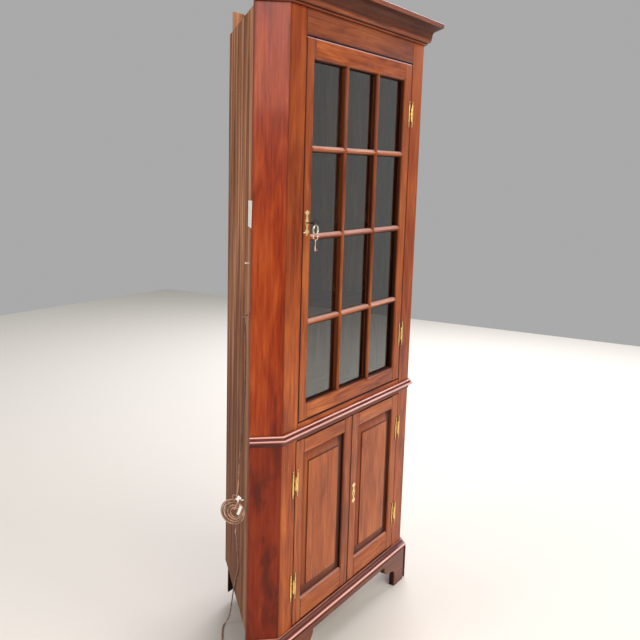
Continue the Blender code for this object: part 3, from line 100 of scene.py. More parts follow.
# The coil's tie, from its knot: out from the coil's middle, up and across its turns. Halves are a strip's
# half width and half thickness.
TIE_KNOT = (-0.0200, 0.0490, 0)
TIE_BOWS = [[(0.0085, -0.0055, -0.004), (0, 0, -0.006), (-0.0075, 0.0005, -0.004)],
            [(0.003, -0.006, -0.006), (0.001, 0.001, -0.007), (0, 0.0075, -0.004)]]
TIE_TAILS = [[(-0.004, 0, -0.004), (-0.009, -0.004, -0.006), (-0.0145, -0.003, -0.003)],
             [(0, -0.002, -0.002), (0.002, -0.008, -0.005), (0.003, -0.015, -0.006)]]
TIE_WIRE = [(0.002, -0.002, 0.002), (0.012, 0.004, 0.001), (0.019, 0.007, -0.002),
            (0.021, -0.003, -0.004), (0.012, -0.006, -0.004)]
TIE_SPACING = 0.001
BOW_HALVES = (0.0042, 0.0014)
TAIL_HALVES = (0.0016, 0.0006)
WIRE_HALVES = (0.0011, 0.0011)

# The tie's tag, from the coil's middle
TAG_ROUTE = [(-0.0285, 0.0270, -0.0085), (-0.0240, 0.0120, -0.0095), (-0.0182, -0.0020, -0.0085)]
TAG_HALVES = (0.0044, 0.0007)
TAG_SPACING = 0.002

# The cord's collar and clip at its hole, and the bent nail above it
COLLAR_RADIUS = 0.0046
COLLAR_WIRE = 0.0014
COLLAR_OUT = 0.0012
CLIP_ROUTE = [(-0.006, 0.0008, -0.0100), (-0.004, 0.0060, -0.0080), (0, 0.0125, -0.0075),
              (0.004, 0.0165, -0.0080)]
CLIP_HALVES = (0.0012, 0.0009)
NAIL_ROUTE = [(0.030, 0.0002, 1.3300), (0.030, 0.0060, 1.3305), (0.030, 0.0110, 1.3290),
              (0.030, 0.0130, 1.3330)]
NAIL_HALVES = (0.0016, 0.0016)

# The blank paper label on the left wall board: its front and rear ends, its foot and its top
LABEL = (0.001, 0.064, 1.434, 1.508)
LABEL_THICKNESS = 0.0004
LABEL_CURL = 0.0012
LABEL_SKEW = 0.002

# Eased edges and smooth shading, and the share of painted highlight along a rounded top edge
EASE = 0.0009
FINE_EASE = 0.0005
SHARP_ANGLE = np.radians(32)
WELD = 0.000005
FLAT_ANGLE = np.radians(0.8)
ROUND_TOP = 0.0055
TOP_HIGHLIGHT_SHARE = 0.95

# A board's area where it can be anywhere, and its seams: a painted shadow line at its low side and high side,
# as beside a door's gap, or a painted highlight along its high side
LEAST, MOST = -9, 9
ANYWHERE = (LEAST, MOST, LEAST, MOST)
NO_GAP_SHADE, LOW_GAP_SHADE, HIGH_GAP_SHADE, BOTH_GAP_SHADES = (0, 0, 0), (1, 0, 0), (0, 1, 0), (1, 1, 0)
HIGH_HIGHLIGHT, LOW_GAP_SHADE_HIGH_HIGHLIGHT = (0, -1, 0), (1, -0.6, 0)

# Steps of a quarter round, of the cornice's cove, and round the small parts
ARC_STEPS, COVE_STEPS = 8, 14
BAR_STEPS, SWEEP_STEPS, SCREW_STEPS = 10, 10, 8
RING_STEPS, WIRE_STEPS = 40, 10
KNUCKLE_STEPS, PIN_STEPS, SHANK_STEPS = 20, 16, 14

# Painted shade in the mouldings' hollows, and the tilts, in degrees, of a crest that faces the light and
# takes a painted highlight
HOLLOW_SHADE = 2.4
HOLLOW_MOST = 0.0066
HOLLOW_DIRECTIONS = 91
HIGHLIGHT_TILT = (27, 70)
HIGHLIGHT_MISS = 0.0014

# Glaze on polished cherry, and painted shade beside gaps, round a panel's field, on its bevel, on the sides
# behind the face, below the foot and at the top, and painted highlights on crests and edges: the distances
# between which each of them fades
EDGE_GLAZE = (0.004, 0.013)
END_GLAZE = (0.0004, 0.002)
GAP_SHADE_LINE = (0.0014, 0.0040)
BEVEL_START = (0.0001, 0.0004)
BEVEL_LINE = (0.0027, 0.0035)
FACE_FADE = (0.0025, 0.0075)
BACK_FADE = (0.0005, 0.003)
BEVEL_SHADE_BAND = (0.036, 0.046)
BEVEL_SHADE_FACE = (0.0026, 0.0030)
BEVEL_SHADE_BACK = (0.0005, 0.0020)
HIGHLIGHT_FADE = (0.0002, 0.0013)
EDGE_HIGHLIGHT_FADE = (0.0030, 0.0066)
KNOT_SIZE = (0.016, 0.008)
FOOT_FADE = 0.01
TOP_FADE = 0.5

# Bare boards: painted shade towards the foot and under the case's floor, and a paler front edge; the cord's
# darkening above a height; and painted shade on the brass where it meets the wood
BOARD_FADE = 0.24
PALER_EDGE = (0.03, 0.07)
UNDER_FLOOR_SHADE_FADE = 0.004
UNDER_FLOOR_SHADE_FACE = (0.001, 0.003)
CORD_DARKENING = 0.72
CORD_DARKENING_RISE = 0.14
LEAF_DEPTH = 0.0027
ESCUTCHEON_DEPTH = 0.0010

# Doors, as the frame has them
UPRIGHT_BARS = (-0.10333, 0.10333)
CROSS_BARS = (1.13875, 1.39800, 1.65725)
BAR_HALF = 0.0095
PANEL_AREA = (0.051, 0.308, 0.236, 0.723)
RAIL_OVERLAP = 0.01

# Batten behind the bottom rail, under the bottom board
SILL_HALF = 0.400
SILL_LOW, SILL_HIGH = 0.135, 0.1757
SILL_DEPTH = (FRONT_Y + 0.0226, FRONT_Y + 0.0340)

# Hinges, about their axes: each door's name, its axis's x and the heights of its top and bottom hinges
HINGE_AXIS_Y = FRONT_Y - 0.0035
HINGES = [("upper", 0.350, (1.797, 1.007)), ("lower_left", -0.359, (0.641, 0.296)),
          ("lower_right", 0.359, (0.641, 0.296))]
BAR_OFFSET = 0.0125
BAR_RADIUS = 0.0048
BAR_FLATTEN = 0.62
KNUCKLE_RADIUS = 0.0031
KNUCKLE_LIP = 0.0005
KNUCKLE_BORE = 0.55
KNUCKLE_HALF = 0.018
KNUCKLE_SEAM = 0.006
PIN_TIP = [(0.0014, 0.0180), (0.0022, 0.0190), (0.0026, 0.0206), (0.0020, 0.0222), (0.0006, 0.0232)]
LEAF_THICKNESS = 0.0017
LEAF_START = 0.0012
SCREW_RADIUS = 0.0021
SCREW_HEIGHTS = (-0.026, 0, 0.026)
SCREW_DOME = ((1.0, 0.0), (1.0, 0.0003), (0.8, 0.0006))
SCREW_SLOT = 0.16
SCREW_STAND = 0.0001
FIRST_SLOT_ANGLE, NEXT_SLOT_ANGLE = 0.6, 1.1

# Turns of a key's parts: its plane to the side, and its length to the rear
TO_SIDE = np.array([[0, -1, 0], [1, 0, 0], [0, 0, 1]])
LAID_BACK = np.array([[1, 0, 0], [0, 0, 1], [0, -1, 0]])

# Keys, and the pin beside the escutcheon
KEY_BOW = (-0.329, -0.21157, 1.443)
KEY_BOW_RADIUS = 0.0078
KEY_LENGTH = 0.0478
KEY_WIRE = 0.0010
KEY_RING_RADIUS = 0.0134
KEY_RING_WIRE = 0.0014
KEY_RING_GAP = 0.9 * KEY_RING_WIRE
KEY_RING_Z = 1.4239
SPARE_BOW_Z = 1.4026
SPARE_KEY_LENGTH = 0.0418
SPARE_KEY_WIRE = 0.0015
BIT_HALF = 0.0007
PIN_PLACE = (-0.3442, 1.4145)
PIN_RADIUS = 0.0026

# Floor, world and lamps: name, place, aim, width, power and colour
FLOOR_HALF = 6
WORLD_STRENGTH = 0.4
LAMPS = [("front_lamp", (0.3, -3.6, 3.3), (0, 0, 0.9), 3.0, 88, (1, 0.97, 0.92)),
         ("left_lamp", (-2.7, -3.6, 3.05), (-0.47, -0.15, 1.3), 2.0, 66, (1, 0.97, 0.92)),
         ("side_lamp", (-4.2, 1.6, 2.9), (-0.5, 0, 1.1), 1.2, 60, (1, 0.97, 0.93)),
         ("right_lamp", (4.6, 0.8, 4.4), (0.2, -0.2, 1.1), 4.5, 350, (0.95, 0.94, 1))]


def place_camera():
    """The camera looks along forward, with its right and up axes turned by the roll about it."""
    level = np.array([np.sin(CAMERA_YAW), np.cos(CAMERA_YAW), 0])
    forward = np.cos(CAMERA_PITCH) * level + np.array([0, 0, np.sin(CAMERA_PITCH)])
    right = np.array([np.cos(CAMERA_YAW), -np.sin(CAMERA_YAW), 0])
    up = np.cross(right, forward)
    turned_right = np.cos(CAMERA_ROLL) * right + np.sin(CAMERA_ROLL) * up
    turned_up = -np.sin(CAMERA_ROLL) * right + np.cos(CAMERA_ROLL) * up
    matrix = np.eye(4)
    matrix[:3, :3] = np.column_stack([turned_right, turned_up, -forward])
    matrix[:3, 3] = CAMERA_PLACE
    lens = bpy.data.cameras.new("view")
    lens.lens = CAMERA_LENS
    lens.sensor_width = CAMERA_SENSOR
    lens.shift_x, lens.shift_y = CAMERA_SHIFT
    camera = bpy.data.objects.new("view", lens)
    camera.matrix_world = matrix.T
    bpy.context.scene.collection.objects.link(camera)
    bpy.context.scene.camera = camera


# Lamp cord


def from_wall(points):
    """Points of the left wall board's frame, in the cabinet's frame: its corner plus shares of its axes."""
    return WALL_CORNER + np.asarray(points, float) @ WALL_AXES


def from_coil(points):
    """Points of the coil's frame, in the wall board's: out from its middle, up, and across its turns."""
    return COIL_CENTRE + np.asarray(points, float) @ COIL_AXES


def smooth_path(points, spacing):
    """Even points along a Catmull-Rom curve: each stretch is a cubic through its two ends, whose slopes are
    half the step between the neighbours."""
    points = np.asarray(points, float)
    ends = np.vstack([2 * points[0] - points[1], points, 2 * points[-1] - points[-2]])
    a, b, c, d = ends[:-3, None], ends[1:-2, None], ends[2:-1, None], ends[3:, None]
    t = np.linspace(0, 1, STRETCH_STEPS, endpoint=False)[None, :, None]
    dense = 2 * b + (c - a) * t + (2 * a - 5 * b + 4 * c - d) * t ** 2 + (3 * b - a - 3 * c + d) * t ** 3
    dense = np.vstack([dense.reshape(-1, 3) / 2, points[-1:]])
    walked = np.concatenate([[0], np.cumsum(np.linalg.norm(np.diff(dense, axis=0), axis=1))])
    even = np.linspace(0, walked[-1], max(2, round(walked[-1] / spacing)) + 1)
    return np.column_stack([np.interp(even, walked, dense[:, k]) for k in range(3)])


def onwards(end, before, length):
    """A point straight on past an end of a path."""
    step = end - before
    return end + step / np.linalg.norm(step) * length


def coil_path():
    """The coil's centre line. Its radius falls by a pitch each turn, a smooth step then climbs one layer
    across the turns, and the radius grows again. Its middle leans to the board as the radius falls."""
    climbed = COIL_IN_TURNS + COIL_CLIMB_TURNS
    turns = np.arange(round((climbed + COIL_OUT_TURNS) * COIL_TURN_POINTS) + 1) / COIL_TURN_POINTS
    wound = np.maximum(np.maximum(COIL_IN_TURNS - turns, turns - climbed), 0)
    radius = COIL_OUTER + COIL_RADIAL_PITCH * (wound - COIL_IN_TURNS)
    lean = COIL_LEAN_SHARE * (COIL_OUTER - radius)
    share = np.clip((turns - COIL_IN_TURNS) / COIL_CLIMB_TURNS, 0, 1)
    layer = share * share * (3 - 2 * share)
    angle = np.pi / 2 - 2 * np.pi * turns
    turned_coil = [radius * np.cos(angle) - lean, radius * np.sin(angle), COIL_LAYER_PITCH * (layer - 0.5)]
    points = from_wall(from_coil(np.column_stack(turned_coil)))
    start = onwards(points[0], points[1], CORD_DIAMETER)
    return np.vstack([start, points, onwards(points[-1], points[-2], CORD_DIAMETER)])


def cord_path():
    """One path: out of the hole, down to the coil, round it, and along board and floor to the plug."""
    coil = coil_path()
    exit_point = from_wall(CORD_EXIT)
    straight = from_wall((CORD_EXIT[0], CORD_DIAMETER, CORD_EXIT[2]))
    arrive = onwards(coil[0], coil[1], SEAT)
    drop = np.vstack([exit_point, straight, from_wall(DROP_ROUTE), onwards(arrive, coil[0], CORD_DIAMETER)])
    leave = onwards(coil[-1], coil[-2], SEAT)
    floor = [(along, out, CORD_DIAMETER / 2 + SEAT) for along, out in FLOOR_ROUTE]
    tail = np.vstack([onwards(leave, coil[-1], CORD_DIAMETER), from_wall(TAIL_ROUTE + floor)])
    drop, tail = smooth_path(drop, ROUTE_SPACING), smooth_path(tail, ROUTE_SPACING)
    return exit_point, np.vstack([drop, arrive, coil, leave, tail])


def add_cord(material):
    """The whole cord as one round curve."""
    exit_point, points = cord_path()
    curve = bpy.data.curves.new("lamp_cord", "CURVE")
    curve.dimensions = "3D"
    curve.bevel_depth = CORD_DIAMETER / 2
    curve.bevel_resolution = 4
    curve.use_fill_caps = True
    spline = curve.splines.new("POLY")
    spline.points.add(len(points) - 1)
    spline.points.foreach_set("co", np.column_stack([points, np.ones(len(points))]).ravel())
    spline.use_smooth = True
    curve.materials.append(material)
    cord = bpy.data.objects.new("lamp_cord", curve)
    bpy.context.scene.collection.objects.link(cord)
    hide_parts("cord_drop", "cord_coil", "cord_tail")
    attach(cord, "case")


# Materials


def paint(red, green, blue):
    """A display colour, 0 to 255, as the linear colour that a shader takes."""
    share = np.array([red, green, blue]) / 255
    linear = np.where(share <= 0.04045, share / 12.92, ((share + 0.055) / 1.055) ** 2.4)
    return (*linear, 1.0)


def tones(*colours):
    """A wood's dark, middle and light colours, each given as paint takes it."""
    return [paint(*colour) for colour in colours]


# Glaze, knots and stain on wood; painted shade beside gaps, round a panel's field, on its bevel, under the
# case's floor, on brass where it meets the wood and behind a board's face; painted highlights on crests and
# edges
GLAZE_AND_GAP_SHADE = paint(46, 12, 5)
FIELD_EDGE_SHADE = paint(64, 14, 10)
BEVEL_SHADE = paint(36, 9, 7)
STAIN = paint(66, 18, 6)
KNOT = paint(52, 14, 6)
CREST_HIGHLIGHT = paint(244, 198, 196)
EDGE_HIGHLIGHT = paint(244, 190, 176)
TOP_HIGHLIGHT = paint(232, 206, 212)
UNDER_FLOOR_SHADE = paint(26, 13, 12)
BRASS_BASE_SHADE = paint(52, 28, 8)
SIDE_SHADE = (0.010, 0.002, 0.001, 1.0)


class Finish:
    """A material's nodes. A value that is another node's output is linked, and any other is set."""

    def __init__(self, name):
        """A new material with its one shader."""
        self.material = bpy.data.materials.new(name)
        self.material.use_nodes = True
        self.tree = self.material.node_tree
        self.shader = self.tree.nodes["Principled BSDF"]

    def put(self, socket, value):
        """A value in a socket, linked or set."""
        if isinstance(value, bpy.types.NodeSocket):
            self.tree.links.new(value, socket)
        else:
            socket.default_value = value

    def add(self, kind, inputs=(), **settings):
        """A node of a kind, with its settings and the values of its inputs."""
        node = self.tree.nodes.new("ShaderNode" + kind)
        for key, value in settings.items():
            setattr(node, key, value)
        for key, value in dict(inputs).items():
            self.put(node.inputs[key], value)
        return node

    def attribute(self, key):
        """One of the piece's own attributes."""
        return self.add("Attribute", attribute_name=key).outputs["Vector"]

    def split(self, vector):
        """A vector's three values, under X, Y and Z."""
        return self.add("SeparateXYZ", {"Vector": vector}).outputs

    def mapped(self, vector, scale=(1, 1, 1), turn=(0, 0, 0)):
        """A place scaled, then turned about the three axes."""
        inputs = {"Vector": vector, "Scale": scale, "Rotation": turn}
        return self.add("Mapping", inputs).outputs["Vector"]

    def noise(self, vector, scale, detail=3, roughness=0.5, distortion=0):
        """Clouds about 1 / scale metres wide, from 0 to 1."""
        inputs = {"Vector": vector, "Scale": scale, "Detail": detail, "Roughness": roughness,
                  "Distortion": distortion}
        return self.add("TexNoise", inputs).outputs["Fac"]

    def grain(self, run, stretch, scale, **settings):
        """Noise drawn out along the grain, where the run counts for a share."""
        return self.noise(self.mapped(run, scale=(stretch, 1, 1)), scale, **settings)

    def spread(self, value, low, high, to_low=0.0, to_high=1.0):
        """The value carried from the stretch between low and high to another one, and held at its ends."""
        inputs = {"Value": value, "From Min": low, "From Max": high, "To Min": to_low, "To Max": to_high}
        return self.add("MapRange", inputs).outputs["Result"]

    def maths(self, operation, first, second=0.0, third=0.0):
        """One step of arithmetic."""
        return self.add("Math", {0: first, 1: second, 2: third}, operation=operation).outputs[0]

    def product(self, first, second):
        """The two values multiplied."""
        return self.maths("MULTIPLY", first, second)

    def greater(self, first, second):
        """The greater of the two values."""
        return self.maths("MAXIMUM", first, second)

    def lesser(self, first, second):
        """The lesser of the two values."""
        return self.maths("MINIMUM", first, second)

    def plus(self, value, share, base):
        """The base and a share of the value."""
        return self.maths("MULTIPLY_ADD", value, share, base)

    def mixed(self, share, first, second, blend="MIX"):
        """The first colour with a share of the second over it."""
        node = self.add("Mix", {0: share, 6: first, 7: second}, data_type="RGBA", blend_type=blend)
        return node.outputs[2]

    def ramp(self, value, stops):
        """The colour at a value, between stops of (value, colour)."""
        node = self.add("ValToRGB", {"Fac": value})
        first, *between, last = stops
        elements = node.color_ramp.elements
        elements[0].position, elements[0].color = first
        elements[1].position, elements[1].color = last
        for place, colour in between:
            elements.new(place).color = colour
        return node.outputs["Color"]

    def bump(self, height, distance, strength):
        """Fine relief: the surface leans as if it rose by the height times the distance."""
        inputs = {"Height": height, "Distance": distance, "Strength": strength}
        self.put(self.shader.inputs["Normal"], self.add("Bump", inputs).outputs["Normal"])

    def set(self, **values):
        """Values of the shader's own sockets, whose names have spaces where these have lines."""
        for key, value in values.items():
            self.put(self.shader.inputs[key.replace("_", " ")], value)


def cherry_figure(finish, run, dark, middle, light):
    """The figure of cherry. Growth rings lie round an axis tilted from the grain, which draws arches. Clouds,
    flames and streaks drawn out along the grain make the tone, with dark fibres and flecks over them."""
    tilted = finish.mapped(run, turn=(0, 0.05, 0.02))
    inputs = {"Vector": finish.mapped(tilted, scale=(0.08, 1, 1)), "Scale": 34, "Distortion": 6, "Detail": 2,
              "Detail Scale": 0.45, "Detail Roughness": 0.5}
    rings = finish.add("TexWave", inputs, wave_type="RINGS", rings_direction="X").outputs["Fac"]
    broad = finish.grain(run, 0.25, 8, detail=2, distortion=0.8)
    flame = finish.grain(run, 0.16, 26, distortion=1.4)
    streak = finish.grain(run, 0.04, 130, roughness=0.6)
    fibre = finish.grain(run, 0.02, 1000, detail=2)
    fleck = finish.grain(run, 0.07, 520, detail=1)
    figure = finish.plus(streak, 0.30, finish.plus(broad, 0.36, finish.product(flame, 0.34)))
    colour = finish.ramp(finish.spread(figure, 0.36, 0.64), [(0.0, dark), (0.5, middle), (1.0, light)])
    colour = finish.mixed(finish.product(finish.maths("POWER", rings, 2.5), 0.2), colour, dark)
    colour = finish.mixed(finish.spread(fibre, 0.35, 0.7, 0.0, 0.22), colour, dark, "MULTIPLY")
    colour = finish.mixed(finish.spread(fleck, 0.64, 0.74, 0.0, 0.35), colour, dark)
    return colour, broad, flame, streak, fibre


def add_knot(finish, colour, knot, near, flame):
    """A knot at its distances from the board's foot and low side: an ellipse of its size, whose edge the
    flames make uneven."""
    along, across = (finish.maths("DIVIDE", finish.maths("SUBTRACT", near[axis], place), size)
                     for axis, place, size in zip("XY", knot, KNOT_SIZE))
    reach = finish.plus(across, across, finish.product(along, along))
    reach = finish.plus(flame, 1.2, reach)
    return finish.mixed(finish.spread(reach, 0.6, 1.7, 0.6, 0.0), colour, KNOT)


def polished_wood(name, colours, roughness=0.28, coat=0.10, specular=0.22, side=SIDE_SHADE, foot_height=0.0,
                  foot_shade=0.0, top_height=0.0, top_shade=0.0, crest=0.0, knot=None, bevel=0.0):
    """Lacquered cherry. The run attribute gives metres along the grain, across it and into the board, from
    the board's middle; near and far give the metres to its sides. Dark glaze gathers along the edges, the
    sides behind the face take a painted shade of their own colour, a pale highlight is painted from the worn
    attribute, and a painted shade, with blotches of stain in it below the foot, darkens the board below its
    foot height and above its top height. The seam attribute tells which of its low side, high side and ends
    take a thin painted shadow line, as beside a door's gap, and is below 0 for a high side with a painted
    highlight. Crest is the share of painted highlight where the depth is least. Bevel is the share of painted
    shade in a thin line round a panel's field, whose bevel takes a painted shade at its high side and foot."""
    finish = Finish(name)
    run = finish.attribute("run")
    near, far, seam = (finish.split(finish.attribute(key)) for key in ("near", "far", "seam"))
    colour, broad, flame, streak, fibre = cherry_figure(finish, run, *colours)
    end = finish.lesser(near["X"], far["X"])
    uneven = finish.plus(flame, 0.012, finish.lesser(near["Y"], far["Y"]))
    glaze_and_gap_shade = finish.greater(finish.spread(uneven, *EDGE_GLAZE, 0.4, 0.0),
                           finish.spread(end, *END_GLAZE, 0.5, 0.0))
    # Painted shadow lines beside a door's gap, at the sides that the seam attribute names
    for axis, distance in (("X", near["Y"]), ("Y", far["Y"]), ("Z", end)):
        line = finish.product(finish.spread(distance, *GAP_SHADE_LINE, 0.95, 0.0), seam[axis])
        glaze_and_gap_shade = finish.greater(glaze_and_gap_shade, line)
    colour = finish.mixed(glaze_and_gap_shade, colour, GLAZE_AND_GAP_SHADE)
    # Painted shade in a thin line round a panel's field
    if bevel:
        line = finish.product(finish.spread(near["Z"], *BEVEL_START, 0.0, bevel),
                              finish.spread(near["Z"], *BEVEL_LINE, 1.0, 0.12))
        colour = finish.mixed(line, colour, FIELD_EDGE_SHADE)
    # Painted shade on the sides behind the face and in hollows, in the side colour
    shade_behind_face = finish.lesser(finish.spread(near["Z"], *FACE_FADE, 0.0, 0.9),
                           finish.spread(far["Z"], *BACK_FADE, 0.0, 0.9))
    colour = finish.mixed(shade_behind_face, colour, side)
    # Painted shade over the bevel at the panel's high side and foot
    if bevel:
        shaded_bevel = finish.greater(finish.spread(far["Y"], *BEVEL_SHADE_BAND, 0.85, 0.0),
                              finish.spread(near["X"], *BEVEL_SHADE_BAND, 0.5, 0.0))
        shaded_bevel = finish.product(shaded_bevel, finish.spread(near["Z"], *BEVEL_SHADE_FACE))
        shaded_bevel = finish.product(shaded_bevel, finish.spread(far["Z"], *BEVEL_SHADE_BACK))
        colour = finish.mixed(shaded_bevel, colour, BEVEL_SHADE)
    # Painted highlight on a crest, where the depth is least
    if crest:
        colour = finish.mixed(finish.spread(near["Z"], *HIGHLIGHT_FADE, crest, 0.0), colour, CREST_HIGHLIGHT)
    # Painted highlight along a high side, where the seam attribute is below 0
    edge_highlight = finish.greater(finish.product(seam["Y"], -1.0), 0.0)
    edge_highlight = finish.product(finish.spread(far["Y"], *EDGE_HIGHLIGHT_FADE, 0.55, 0.0), edge_highlight)
    colour = finish.mixed(edge_highlight, colour, EDGE_HIGHLIGHT)
    if knot:
        colour = add_knot(finish, colour, knot, near, flame)
    # Painted highlight from the worn attribute, along a rounded top edge
    worn = finish.add("Attribute", attribute_name="worn").outputs["Fac"]
    colour = finish.mixed(worn, colour, TOP_HIGHLIGHT)
    # Painted shade below the foot height, with blotches of stain in it
    if foot_shade:
        below = finish.spread(near["X"], foot_height, foot_height + FOOT_FADE, foot_shade, 0.0)
        colour = finish.mixed(below, colour, colours[0])
        blotch = finish.spread(finish.grain(run, 0.4, 17, distortion=0.6), 0.52, 0.66, 0.0, 1.1)
        colour = finish.mixed(finish.product(blotch, below), colour, STAIN)
    # Painted shade above the top height
    if top_shade:
        above = finish.spread(near["X"], top_height, top_height + TOP_FADE, 0.0, top_shade)
        colour = finish.mixed(above, colour, colours[0])
    gloss = finish.plus(glaze_and_gap_shade, 0.4, finish.spread(broad, 0.3, 0.7, roughness - 0.04, roughness + 0.07))
    finish.set(Base_Color=colour, Roughness=finish.plus(shade_behind_face, 0.5, gloss))
    finish.set(Coat_Weight=coat, Coat_Roughness=0.08, Specular_IOR_Level=specular)
    finish.bump(finish.maths("ADD", fibre, streak), 0.0001, 0.5)
    return finish.material


def bare_wood(name, colours, roughness=0.85, foot_height=0.0, foot_shade=0.0, shaded_below=0.0):
    """Unfinished, weathered board: long grey and brown streaks and fine checks along the grain. Painted shade
    darkens it towards its foot, and its front edge is paler. Its face towards the case takes a painted shade
    below a height, where it stands under the case's floor."""
    dark, middle, light = colours
    finish = Finish(name)
    run = finish.attribute("run")
    near, far = (finish.split(finish.attribute(key)) for key in ("near", "far"))
    broad = finish.grain(run, 0.05, 34, detail=4, distortion=0.3)
    streak = finish.grain(run, 0.03, 130, detail=4, roughness=0.65)
    fibre = finish.grain(run, 0.015, 1300, detail=2)
    figure = finish.plus(broad, 0.65, finish.product(streak, 0.45))
    colour = finish.ramp(figure, [(0.40, dark), (0.55, middle), (0.70, light)])
    colour = finish.mixed(finish.spread(fibre, 0.3, 0.7, 0.0, 0.45), colour, dark, "MULTIPLY")
    # Painted shade towards the foot; the front edge is paler
    if foot_shade:
        below = finish.spread(near["X"], foot_height, foot_height + BOARD_FADE, foot_shade, 0.0)
        colour = finish.mixed(below, colour, dark)
        colour = finish.mixed(finish.spread(near["Y"], *PALER_EDGE, 0.3, 0.0), colour, light)
    # Painted shade on the face towards the case, under the case's floor
    if shaded_below:
        under_floor_shade = finish.product(finish.spread(near["X"], shaded_below - UNDER_FLOOR_SHADE_FADE, shaded_below, 0.95, 0.0),
                              finish.spread(far["Z"], *UNDER_FLOOR_SHADE_FACE, 1.0, 0.0))
        colour = finish.mixed(under_floor_shade, colour, UNDER_FLOOR_SHADE)
    finish.set(Base_Color=colour, Roughness=roughness, Specular_IOR_Level=0.2)
    finish.bump(finish.maths("ADD", fibre, streak), 0.0003, 0.7)
    return finish.material


def metal_finish(name, bright, dull, roughness, base_shade=0.0, axis="Y", depth=LEAF_DEPTH):
    """Worn metal, with tarnish in clouds. Base shade is the share of painted shade where the piece meets the
    wood, told by the named axis of the far attribute, which counts the depth left."""
    finish = Finish(name)
    place = finish.add("TexCoord").outputs["Object"]
    cloud = finish.noise(place, 90)
    colour = finish.mixed(finish.spread(cloud, 0.4, 0.7), bright, dull)
    # Painted shade where the piece meets the wood
    if base_shade:
        left = finish.split(finish.attribute("far"))[axis]
        colour = finish.mixed(finish.spread(left, 0.3 * depth, depth, base_shade, 0.0), colour, BRASS_BASE_SHADE)
    gloss = finish.spread(cloud, 0.3, 0.7, roughness, roughness + 0.12)
    finish.set(Base_Color=colour, Roughness=gloss, Metallic=1.0)
    finish.bump(finish.noise(place, 300, detail=2), 0.0001, 0.15)
    return finish.material


def glass_finish():
    """Clear window glass, slightly wavy. It shows the dark inside and mirrors what is before it."""
    finish = Finish("window_glass")
    place = finish.add("TexCoord").outputs["Object"]
    finish.set(Base_Color=paint(190, 196, 186), Roughness=0.015, IOR=1.75, Transmission_Weight=1.0)
    finish.bump(finish.noise(place, 5, detail=1), 0.0005, 0.2)
    return finish.material


def plastic_finish(name, colour, worn, roughness, edge=None, darker_from=0.0):
    """A plain moulded or paper surface, with faint clouding and a fine tooth. Its colour may turn to a darker
    one where the surface turns away, as a painted shade on the sides of a cord, and it darkens above a
    height."""
    finish = Finish(name)
    place = finish.add("TexCoord").outputs["Object"]
    cloud = finish.noise(place, 60, detail=4)
    mixture = finish.mixed(finish.spread(cloud, 0.35, 0.7), colour, worn)
    if edge:
        # Painted shade on the sides that turn away
        facing = finish.add("LayerWeight", {"Blend": 0.5}).outputs["Facing"]
        mixture = finish.mixed(finish.spread(facing, 0.45, 0.85), mixture, edge)
        # Darker above a height
        height = finish.split(place)["Z"]
        high = finish.spread(height, darker_from, darker_from + CORD_DARKENING_RISE, 0.0, CORD_DARKENING)
        mixture = finish.mixed(high, mixture, edge)
    finish.set(Base_Color=mixture, Roughness=roughness)
    finish.bump(finish.noise(place, 900, detail=2), 0.00008, 0.4)
    return finish.material


# Shapes: each is (points, faces, run), with run in metres along the grain, across it and into the wood


def tube(rings, run=None):
    """A closed solid through rings of points: quads join each ring to the next, and faces close its ends."""
    count, around = rings.shape[:2]
    start = np.arange(count - 1)[:, None] * around
    here = np.arange(around)
    there = (here + 1) % around
    quads = np.stack([start + here, start + there, start + around + there, start + around + here], axis=-1)
    faces = quads.reshape(-1, 4).tolist() + [here[::-1].tolist(), (here + (count - 1) * around).tolist()]
    points = rings.reshape(-1, 3)
    return points, faces, points if run is None else np.asarray(run, float).reshape(-1, 3)


def joined(*shapes):
    """Several closed solids as one shape: their points in a row, with the faces' numbers moved along."""
    starts = np.cumsum([0] + [len(points) for points, _, _ in shapes])
    points, faces, run = zip(*shapes)
    moved = [[index + int(start) for index in face] for rows, start in zip(faces, starts) for face in rows]
    return np.vstack(points), moved, np.vstack(run)


def arc(centre, radii, start, end):
    """Points on an ellipse about a centre, from one angle in degrees to another."""
    angle = np.radians(np.linspace(start, end, ARC_STEPS + 1))
    return np.column_stack([centre[0] + radii[0] * np.cos(angle), centre[1] + radii[1] * np.sin(angle)])


def turned(profile, steps):
    """A profile of (radius, height) turned about Z: each point goes round a circle of its radius."""
    profile = np.asarray(profile, float)
    angle = np.linspace(0, 2 * np.pi, steps, endpoint=False)
    rings = np.stack([profile[:, :1] * np.cos(angle), profile[:, :1] * np.sin(angle),
                      np.repeat(profile[:, 1:], steps, axis=1)], axis=-1)
    return tube(rings)


def add_piece(name, shape, body, material, replaces=()):
    """An object at the origin for a shape in the cabinet's frame, facing out and riding on its body. Its near
    and far attributes are the run's distances from its least and to its greatest values."""
    points, faces, run = shape
    mesh = bpy.data.meshes.new(name)
    mesh.from_pydata(points.tolist(), [], faces)
    bm = bmesh.new()
    bm.from_mesh(mesh)
    bmesh.ops.recalc_face_normals(bm, faces=bm.faces)
    bm.to_mesh(mesh)
    bm.free()
    for key, rows in (("run", run), ("near", run - run.min(axis=0)), ("far", run.max(axis=0) - run)):
        mesh.attributes.new(key, "FLOAT_VECTOR", "POINT").data.foreach_set("vector", np.ravel(rows))
    return finish_piece(name, mesh, body, material, replaces, 0)


